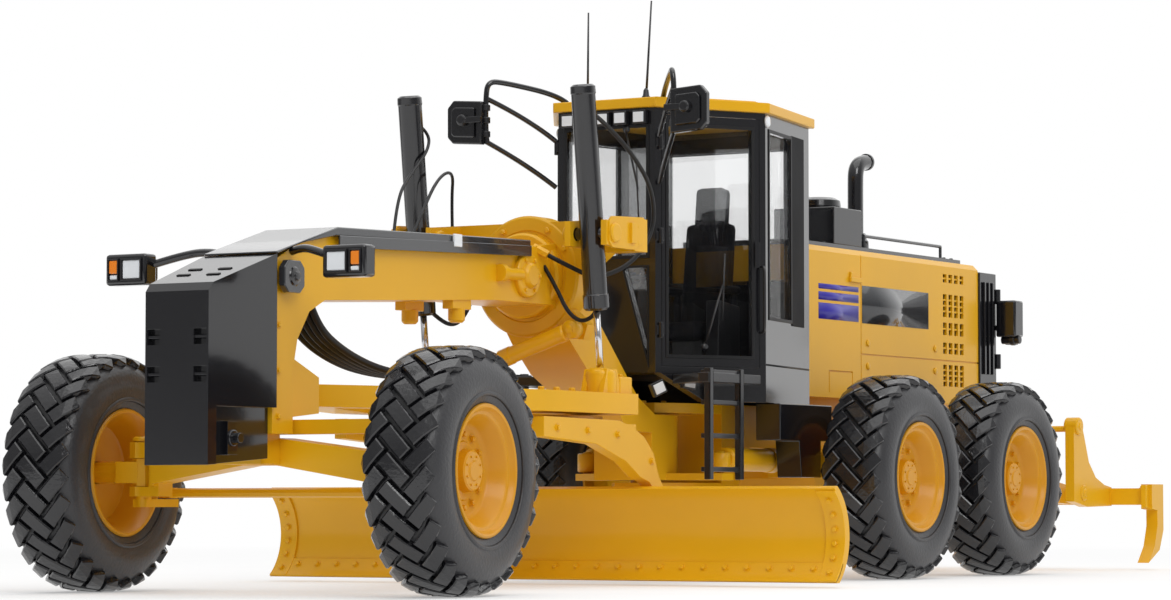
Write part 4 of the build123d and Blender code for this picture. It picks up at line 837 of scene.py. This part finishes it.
made("seat_base", REAR, PLASTIC, (block, plan(CAB_FLOOR), (0, SEAT_BEHIND), (4.6, 5.0), 3.9))
made("seat_cushion", REAR, SEAT, (block, plan(31.5), (0, SEAT_BEHIND - 0.6), (7.0, 8.0), 2.5), bevel=0.75,
     stands_for="seat")
seat_forms = (
    # name, half width, bevel, corners of behind the seat's middle and up
    ("seat_back", 3.5, 0.75, ((1.4, 33.4), (3.8, 33.0), (5.4, 47.4), (3.3, 47.6))),
    ("headrest", 2.2, 0.7, ((3.0, 46.4), (5.6, 46.2), (6.2, 52.2), (3.7, 52.5))),
)
for name, half, bevel, corners in seat_forms:
    outline = [(SEAT_BEHIND + back, z) for back, z in corners]
    made(name, REAR, SEAT, (prism, side(-half), outline, 2 * half), bevel=bevel)
for which, hand in SIDES:
    made(f"armrest_{which}", REAR, SEAT,
         (block, side(hand * 3.7), (SEAT_BEHIND - 0.2, 38.4), (7.0, 1.1), hand * 1.5),
         (block, side(hand * 3.9), (SEAT_BEHIND + 2.6, 36.0), (1.2, 4.6), hand * 0.8), bevel=0.35)
    made(f"levers_{which}", REAR, SEAT,
         (block, side(hand * 4.9), (91.0, 41.0), (4.6, 5.4), hand * 2.0), *[
             (lever, hand * x, behind)
             for x, behind in ((5.2, 89.6), (5.9, 89.9), (6.5, 90.3), (5.2, 92.0), (5.9, 92.3), (6.5, 92.6))
         ], bevel=0.0)
wheel_centre, wheel_axis = at(0, 83.4, 39.6), Vector((0, 0.42, 0.91))
spoke = wheel_axis.orthogonal().normalized() * 3.0
grip = [(0.3 * sin(2 * pi * k / 10), 3.0 + 0.3 * cos(2 * pi * k / 10)) for k in range(11)]
hub = (-0.5, 0), (-0.5, 0.7), (0.15, 0.75), (0.25, 0.5), (0.25, 0)
made("steering_wheel", REAR, PLASTIC,
     (turned, grip, wheel_centre, wheel_axis, 48), (turned, hub, wheel_centre, wheel_axis, 24), *[
         (rod, wheel_centre, wheel_centre + Matrix.Rotation(2 * pi * k / 3, 3, wheel_axis) @ spoke, 0.2, 12)
         for k in range(3)
     ], (rod, wheel_centre - wheel_axis * 0.4, at(0, 81.4, 36.8), 0.45), bevel=0.0)
made("monitor", REAR, PLASTIC, (block, wall(1, -2.2), (3.0, 40.5), (3.2, 2.4), 0.6),
     (rod, wall(1, -2.0)(3.0, 36.0, 0), wall(1, -2.0)(3.0, 40.0, 0), 0.2))

# Trims, seams and pillar lamps of the cab's rear sides, lamps at its roof and its front feet, and aerials

PILLAR_LAMP_Z = 59.4
pillar_lamp = (0, 0), (0, 0.8), (0.25, 0.8), (0.45, 0.55), (0.5, 0)
for index, near, far, corner_u in (
    (1, 11.9, 17.6, 0.5), (3, REAR_SIDE - 17.6, REAR_SIDE - 11.9, REAR_SIDE - 0.5),
):
    trim = wall(index, -0.02)
    panel = spanned((near, 33.4), (far, 58.6))
    made(f"quarter_trim_{index}", REAR, TRIM, (prism, trim, panel, 0.12), bevel=0.04)
    seam = spanned((0.2, 27.75), (REAR_SIDE - 0.3, 28.0))
    made(f"wall_seam_{index}", REAR, RUBBER, (prism, trim, seam, 0.06), bevel=0.0)
    foot, ahead = (wall(index)(corner_u, PILLAR_LAMP_Z, w) for w in (0, 1))
    made(f"pillar_lamp_{index}", REAR, LENS, (turned, pillar_lamp, foot, ahead - foot, 32), bevel=0.0)


def tilted(index, turn, u, v):
    """A cab wall's lay, turned about a point of it."""
    lay = wall(index, 0.2)
    return lambda a, b, w: lay(
        u + (a - u) * cos(turn) - (b - v) * sin(turn), v + (a - u) * sin(turn) + (b - v) * cos(turn), w)


lamp_spots = (
    # name, u, v, and for the lamps at the feet their wall and turn
    *[(f"roof_{k}", u, 59.2, None) for k, u in enumerate((-5.4, -0.2, 2.4, 5.2), 1)],
    ("foot_left", 0.0, 24.6, (0, 0.42)), ("foot_left_rear", 4.5, 25.4, (0, -0.15)),
    ("foot_right", DOOR, 24.6, (4, -0.42)), ("foot_right_rear", DOOR - 4.5, 25.4, (4, 0.15)),
)
for name, u, v, foot in lamp_spots:
    lay = tilted(*foot, u, v) if foot else front(CAB_FRONT[1])
    out = 1 if foot else -1
    face = lambda a, b, w, lay=lay, out=out: lay(a, b, w + out * 0.8)
    case = made(f"lamp_case_{name}", REAR, PLASTIC, (block, lay, (u, v), (2.0, 1.8), out * 0.85), bevel=0.15)
    made(f"lamp_lens_{name}", REAR, LENS, (block, face, (u, v), (1.5, 1.3), out * 0.15), bevel=0.05)
    if name == "roof_1":
        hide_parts("roof_lamps")

aerial_foot = (0, 0), (0, 0.55), (0.3, 0.55), (0.45, 0.42), (1.1, 0.34), (1.4, 0.16), (1.4, 0)
for name, x, behind, top, lean in (("left", 5.0, 75.0, 74.5, 1.4), ("right", -4.0, 75.5, 73.5, 0.2)):
    foot = at(x, behind, CAB_TOP + 1.3)
    whip = at(x, behind + lean, top) - foot
    aerial = made(f"aerial_{name}", REAR, PLASTIC, (turned, aerial_foot, foot, Z_AXIS, 24), (
        turned, ((0, 0), (0, 0.17), (whip.length, 0.11), (whip.length, 0)), foot, whip, 16), bevel=0.0)
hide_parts("antennas")

# Mirrors: bent tubes from the roof and the front pillar, a case with cut corners, its glass and its clamps

MIRROR_FACE = 66.4
mirror_tubes = (
    # name, radius, points of outward, behind, up
    ("loop", 0.36, (
        (7.2, 75.6, 61.9), (8.0, 74.6, 62.9), (12.4, 68.4, 64.2), (13.6, 66.6, 64.2), (13.9, 66.5, 62.2),
        (13.9, 66.5, 57.0), (13.7, 66.6, 56.2),
    )),
    ("arm_upper", 0.34, ((13.8, 66.6, 62.0), (10.2, 70.8, 59.6), (7.7, 73.6, 56.8))),
    ("arm_lower", 0.34, ((13.8, 66.6, 56.4), (10.2, 70.8, 53.6), (7.7, 73.7, 50.8))),
)
mirror_case = (13.9, 56.0), (18.3, 56.3), (19.1, 57.1), (19.1, 60.9), (18.2, 61.9), (13.9, 61.6)
mirror_ridge = (14.8, 56.9), (17.9, 57.1), (18.3, 57.5), (18.3, 60.5), (17.8, 61.0), (14.8, 60.8)
for which, hand in SIDES:
    for name, radius, points in mirror_tubes:
        line = [at(hand * x, behind, z) for x, behind, z in points]
        tube(f"mirror_{name}_{which}", REAR, line, radius, GLOSS)
    case = made(
        f"mirror_case_{which}", REAR, GLOSS,
        (prism, front(MIRROR_FACE), [(hand * u, v) for u, v in mirror_case], -1.0),
        (prism, front(MIRROR_FACE - 1.0), [(hand * u, v) for u, v in mirror_ridge], -0.4), bevel=0.3)
    made(f"mirror_glass_{which}", REAR, CHROME,
         (block, front(MIRROR_FACE), (hand * 16.5, 59.0), (4.2, 4.6), 0.08), bevel=0.0)
    made(f"mirror_clamps_{which}", REAR, PLASTIC,
         (block, front(65.0), (hand * 15.0, 59.2), (3.0, 0.8), -0.5),
         (knob, at(hand * 16.4, 65.1, 59.2), (0, -1, 0), 0.75, 0.6, 0.75, 0.5), *[
             (rod, at(hand * 13.9, 66.5, z), at(hand * 13.9, 66.5, z + 0.8), 0.6, 20)
             for z in (57.0, 58.8, 60.4)
         ])
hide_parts("mirrors")

# Hood: stripes, a blank dark panel, vents, a handle and latches, and the radiator housing's ribs and lamps

HOOD_HALF, HOUSING_HALF, TAIL_X = 11.0, 11.3, 13.3
VENTS_BEHIND, VENT_BACK, VENT_BARS = 154.0, 10.5, 10.55
stripes = ((39.1, 39.8), (37.6, 38.7), (35.0, 37.2))
vent_rows = ((26.9, 30.0), (31.6, 33.2), (34.3, 36.1), (36.9, 40.2), (41.9, 43.1))
vent_cells = [(VENTS_BEHIND + u, *row) for row in vent_rows for u in (-2.85, -0.95, 0.95, 2.85)]
for which, hand in SIDES:
    hood_side, housing_side, out = side(hand * HOOD_HALF), side(hand * HOUSING_HALF), (hand, 0, 0)
    made(f"stripes_{which}", REAR, STRIPE, *[
        (block, hood_side, (117.3, (low + high) / 2), (12.0, high - low), hand * 0.04)
        for low, high in stripes
    ], bevel=0.0)
    made(f"dark_panel_{which}", REAR, GREY, (block, hood_side, (135.0, 37.5), (21.2, 5.2), hand * 0.04),
         bevel=0.0)
    # dark backs in the vents' slots behind the bars: a painted shade of the recesses' insides
    made(f"vent_shade_backs_{which}", REAR, RUBBER, *[
        (block, side(hand * VENT_BACK), (behind, (low + high) / 2), (1.3, high - low + 0.1), hand * 0.12)
        for behind, low, high in vent_cells
    ], bevel=0.0)
    made(f"vent_bars_{which}", REAR, YELLOW, *[
        (block, side(hand * VENT_BARS), (behind, low + (high - low) * k / count), (1.3, 0.26), hand * 0.38)
        for behind, low, high in vent_cells for count in [round((high - low) / 0.8)] for k in range(1, count)
    ], bevel=0.0)
    made(f"hood_handle_{which}", REAR, YELLOW, (block, hood_side, (122.1, 40.75), (3.4, 0.7), hand * 0.45),
         (block, hood_side, (121.0, 41.3), (0.8, 1.0), hand * 0.3), bevel=0.12)
    made(f"latches_{which}", REAR, YELLOW, *[
        (knob, at(hand * HOOD_HALF, behind, z), out, 0.5, 0.15, 0.25, 0.3)
        for z in (32.2, 29.0) for behind in (126.2, 147.8)
    ])
    # the housing's ribs and hinges, and the tail lamp beside them
    made(f"housing_ribs_{which}", REAR, BLACK, *[
        (block, housing_side, (behind, 35.8), (0.5, 13.6), hand * 0.35) for behind in (163.8, 165.2, 166.6)
    ], *[
        (rod, at(hand * 11.6, 168.0, z - 1.1), at(hand * 11.6, 168.0, z + 1.1), 0.5) for z in (31.0, 40.6)
    ])
    case = made(
        f"tail_case_{which}", REAR, BLACK, (block, plan(34.6), (hand * TAIL_X, 168.6), (3.2, 3.0), 5.4),
        (block, housing_side, (168.6, 36.0), (1.8, 1.0), hand * 0.6), bevel=0.4)
    made(f"tail_clamp_{which}", REAR, PLASTIC,
         (rod, at(hand * 12.2, 168.4, 34.2), at(hand * 15.1, 168.4, 34.2), 0.62),
         (knob, at(hand * 13.6, 168.4, 34.2), X_AXIS, 0.85, 0.7, 0.8, 0.6),
         (block, plan(33.5), (hand * TAIL_X, 169.3), (1.6, 1.2), 1.3), bevel=0.1)
    made(f"tail_lens_{which}", REAR, RED, (block, front(170.0), (hand * TAIL_X, 38.3), (2.2, 2.0), 0.3),
         (block, front(170.0), (hand * TAIL_X, 35.9), (2.2, 1.5), 0.3), bevel=0.1)
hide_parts("tail_lamps")

# Hood deck: its bolts, the exhaust and the air cleaner's cap

DECK_TOP = 45.8
STACK_X, STACK_BEHIND, STACK_END, STACK_END_Z = 4.0, 136.5, 140.2, 58.8
stack_out = (0, 1, 0.06)
bolts("deck_bolts", REAR, [
    at(hand * 7.4, behind, DECK_TOP) for hand in (-1, 1) for behind in (110.5, 120.0, 128.0, 158.5, 161.0)
], Z_AXIS, 0.3, 0.22, GREY)
stack = tube("exhaust_stack", REAR, [at(STACK_X, behind, z) for behind, z in (
    (STACK_BEHIND, DECK_TOP + 0.1), (STACK_BEHIND, 50.5), (STACK_BEHIND, 55.0), (136.6, 57.6), (138.2, 58.6),
    (STACK_END, STACK_END_Z),
)], 1.12, GLOSS)
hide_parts("exhaust")
stack_foot = (0, 0), (0, 1.9), (1.4, 1.85), (1.7, 1.6), (2.5, 1.45), (2.6, 1.1)
stack_lip = (-0.5, 0.95), (-0.5, 1.22), (0.04, 1.22), (0.04, 0.9), (-0.5, 0.9)
made("exhaust_base", REAR, BLACK, (turned, stack_foot, at(STACK_X, STACK_BEHIND, DECK_TOP), Z_AXIS),
     (turned, stack_lip, at(STACK_X, STACK_END, STACK_END_Z), stack_out))
# a dark disc on the stack's capped end: a painted shade of the pipe's hollow
made("exhaust_mouth_shade", REAR, RUBBER, (
    turned, ((0, 0), (0, 0.9), (0.03, 0.9), (0.03, 0)), at(STACK_X, STACK_END + 0.02, STACK_END_Z), stack_out,
), bevel=0.0)
cleaner_lid = (0, 0), (0, 3.0), (0.5, 3.2), (1.3, 3.1), (1.7, 2.4), (1.8, 0)
made("cleaner_cap", REAR, BLACK, (turned, cleaner_lid, at(3.6, 125.6, 50.9), Z_AXIS), *[
    (block, plan(DECK_TOP), (x, 122.2), (0.8, 0.8), 3.4) for x in (-0.4, 7.6)
])

# Caps and bolts of the front axle and the pivot, and the ripper's outer plates, bosses and cheeks

TOWER_X, TOWER_THICKNESS = 20.0, 1.4
tower_outline = (
    (175.0, 10.3), (180.0, 9.5), (189.2, 9.65), (189.2, 12.45), (186.5, 12.8), (183.2, 13.9), (180.6, 16.2),
    (179.0, 19.8), (178.2, 21.4), (175.1, 21.4), (175.0, 20.2),
)
for which, hand in SIDES:
    made(f"kingpin_cap_{which}", FRONT, YELLOW,
         (knob, at(hand * 17.4, 0, 17.0), Z_AXIS, 1.3, 0.35, 0.55, 1.0, 32))
    bolts(f"axle_bolts_{which}", FRONT, [at(hand * 15.0, -1.3, z) for z in (12.4, 18.4)], (0, -1, 0),
          0.42, 0.3)
    made(f"ripper_bosses_{which}", "ripper", YELLOW, *[
        (boss, at(hand * x, 173.5, 12.0), X_AXIS, 0.4, 1.5, 0.7) for x in (12.6, 15.4)
    ], (boss, at(hand * 14.0, 175.5, 20.6), X_AXIS, 1.3, 1.3, 0.6))
    made(f"ripper_tower_{which}", "ripper", YELLOW,
         (prism, side(hand * TOWER_X - TOWER_THICKNESS / 2), tower_outline, TOWER_THICKNESS),
         (boss, at(hand * TOWER_X, 176.5, 21.5), X_AXIS, 1.1, 1.3, 0.6),
         (boss, at(hand * TOWER_X, 178.6, 11.6), X_AXIS, 0.95, 1.2, 0.6),
         (rod, at(hand * 14.0, 176.1, 21.1), at(hand * TOWER_X, 176.1, 21.1), 0.45))
    made(f"shank_cheeks_{which}", "ripper", YELLOW,
         (block, side(hand * 26.6 - 0.4), (189.6, 11.05), (4.6, 3.4), 0.8))
bolts("ripper_bolts", "ripper", [
    at(x, 190.0, 12.3) for x in (-25.4, -15.4, -12.6, 12.6, 15.4, 25.4)
], Z_AXIS, 0.4, 0.3)
bolts("pivot_bolts", REAR, [at(u, 83.0 + v, 22.9) for u, v in around(3.0, 6)], Z_AXIS, 0.35, 0.3)

# Camera, floor and lights. The places of the camera and the lights are metres.

CAMERA_PLACE, CAMERA_DIRECTION, CAMERA_LENS = (0.2396, -0.4213, 0.0100), (-0.5116, 0.8574, 0.0550), 113.6
FLOOR_HALF = 4000
WHITE = (1.0, 1.0, 1.0, 1.0)


def aimed(name, data, place, direction):
    """A camera or light that looks along a direction."""
    obj = shown(name, data)
    obj.location = place
    obj.rotation_mode = "QUATERNION"
    obj.rotation_quaternion = Vector(direction).to_track_quat("-Z", "Y")
    return obj


view = bpy.data.cameras.new("camera")
view.lens = CAMERA_LENS
view.sensor_width = 36.0
view.clip_start = 0.01
view.clip_end = 20.0
scene.camera = aimed("camera", view, CAMERA_PLACE, CAMERA_DIRECTION)

# The floor gives way to plain white away from the object, so that no horizon shows
floor_form = bmesh.new()
block(floor_form, lambda u, v, w: Vector((u, v, w)), (0, 0), (2 * FLOOR_HALF, 2 * FLOOR_HALF), -1.0)
floor_white = surface("floor_white", (0.93, 0.93, 0.93), 0.7, spread=0.01, bump=0.0)[1]
tree = floor_white.node_tree
shader = settle(tree.nodes["Principled BSDF"], {"Specular IOR Level": 0.0})
glow = node(tree, "Emission")
spot = node(tree, "TexCoord")
reach = node(tree, "VectorMath", operation="LENGTH")
fade = node(tree, "MapRange", {"From Min": 0.12, "From Max": 0.4, "To Min": 0.35})
blend = node(tree, "MixShader")
link(
    tree, (spot, "Object", reach, 0), (reach, "Value", fade, "Value"), (fade, "Result", blend, "Fac"),
    (shader, "BSDF", blend, 1), (glow, "Emission", blend, 2),
    (blend, "Shader", tree.nodes["Material Output"], "Surface"),
)
shown("floor", mesh_from(floor_form, "floor", floor_white))

# A sky that is brighter overhead and behind the object lights it, and the camera sees plain white
world = bpy.data.worlds.new("studio")
scene.world = world
world.use_nodes = True
sky = world.node_tree
direction = node(sky, "TexCoord")
split = node(sky, "SeparateXYZ")
overhead = node(sky, "MapRange", {"From Min": 0.0, "From Max": 0.9, "To Min": 0.18, "To Max": 0.75})
rear_light = node(sky, "MapRange", {"From Min": 0.2, "From Max": 0.75, "To Max": 0.65})
brightness = node(sky, "Math", operation="ADD")
backdrop = node(sky, "Background", {"Strength": 1.0, "Color": WHITE})
rays = node(sky, "LightPath")
choice = node(sky, "MixShader")
soft = settle(sky.nodes["Background"], {"Color": WHITE})
link(
    sky, (direction, "Generated", split, "Vector"), (split, "Z", overhead, "Value"),
    (split, "Y", rear_light, "Value"), (overhead, "Result", brightness, 0),
    (rear_light, "Result", brightness, 1), (brightness, "Value", soft, "Strength"),
    (rays, "Is Camera Ray", choice, "Fac"), (soft, "Background", choice, 1),
    (backdrop, "Background", choice, 2), (choice, "Shader", sky.nodes["World Output"], "Surface"),
)

for name, place, aim, size, energy in (
    ("overhead", (0.05, -0.05, 0.55), (0, 0, 0.02), 0.6, 1.1),
    ("key", (0.45, -0.4, 0.42), (0, 0, 0.03), 0.3, 1.3),
):
    light = bpy.data.lights.new(name, "AREA")
    light.shape = "RECTANGLE"
    light.size = light.size_y = size
    light.energy = energy
    aimed(name, light, place, Vector(aim) - Vector(place))
scene.view_settings.view_transform = "Standard"
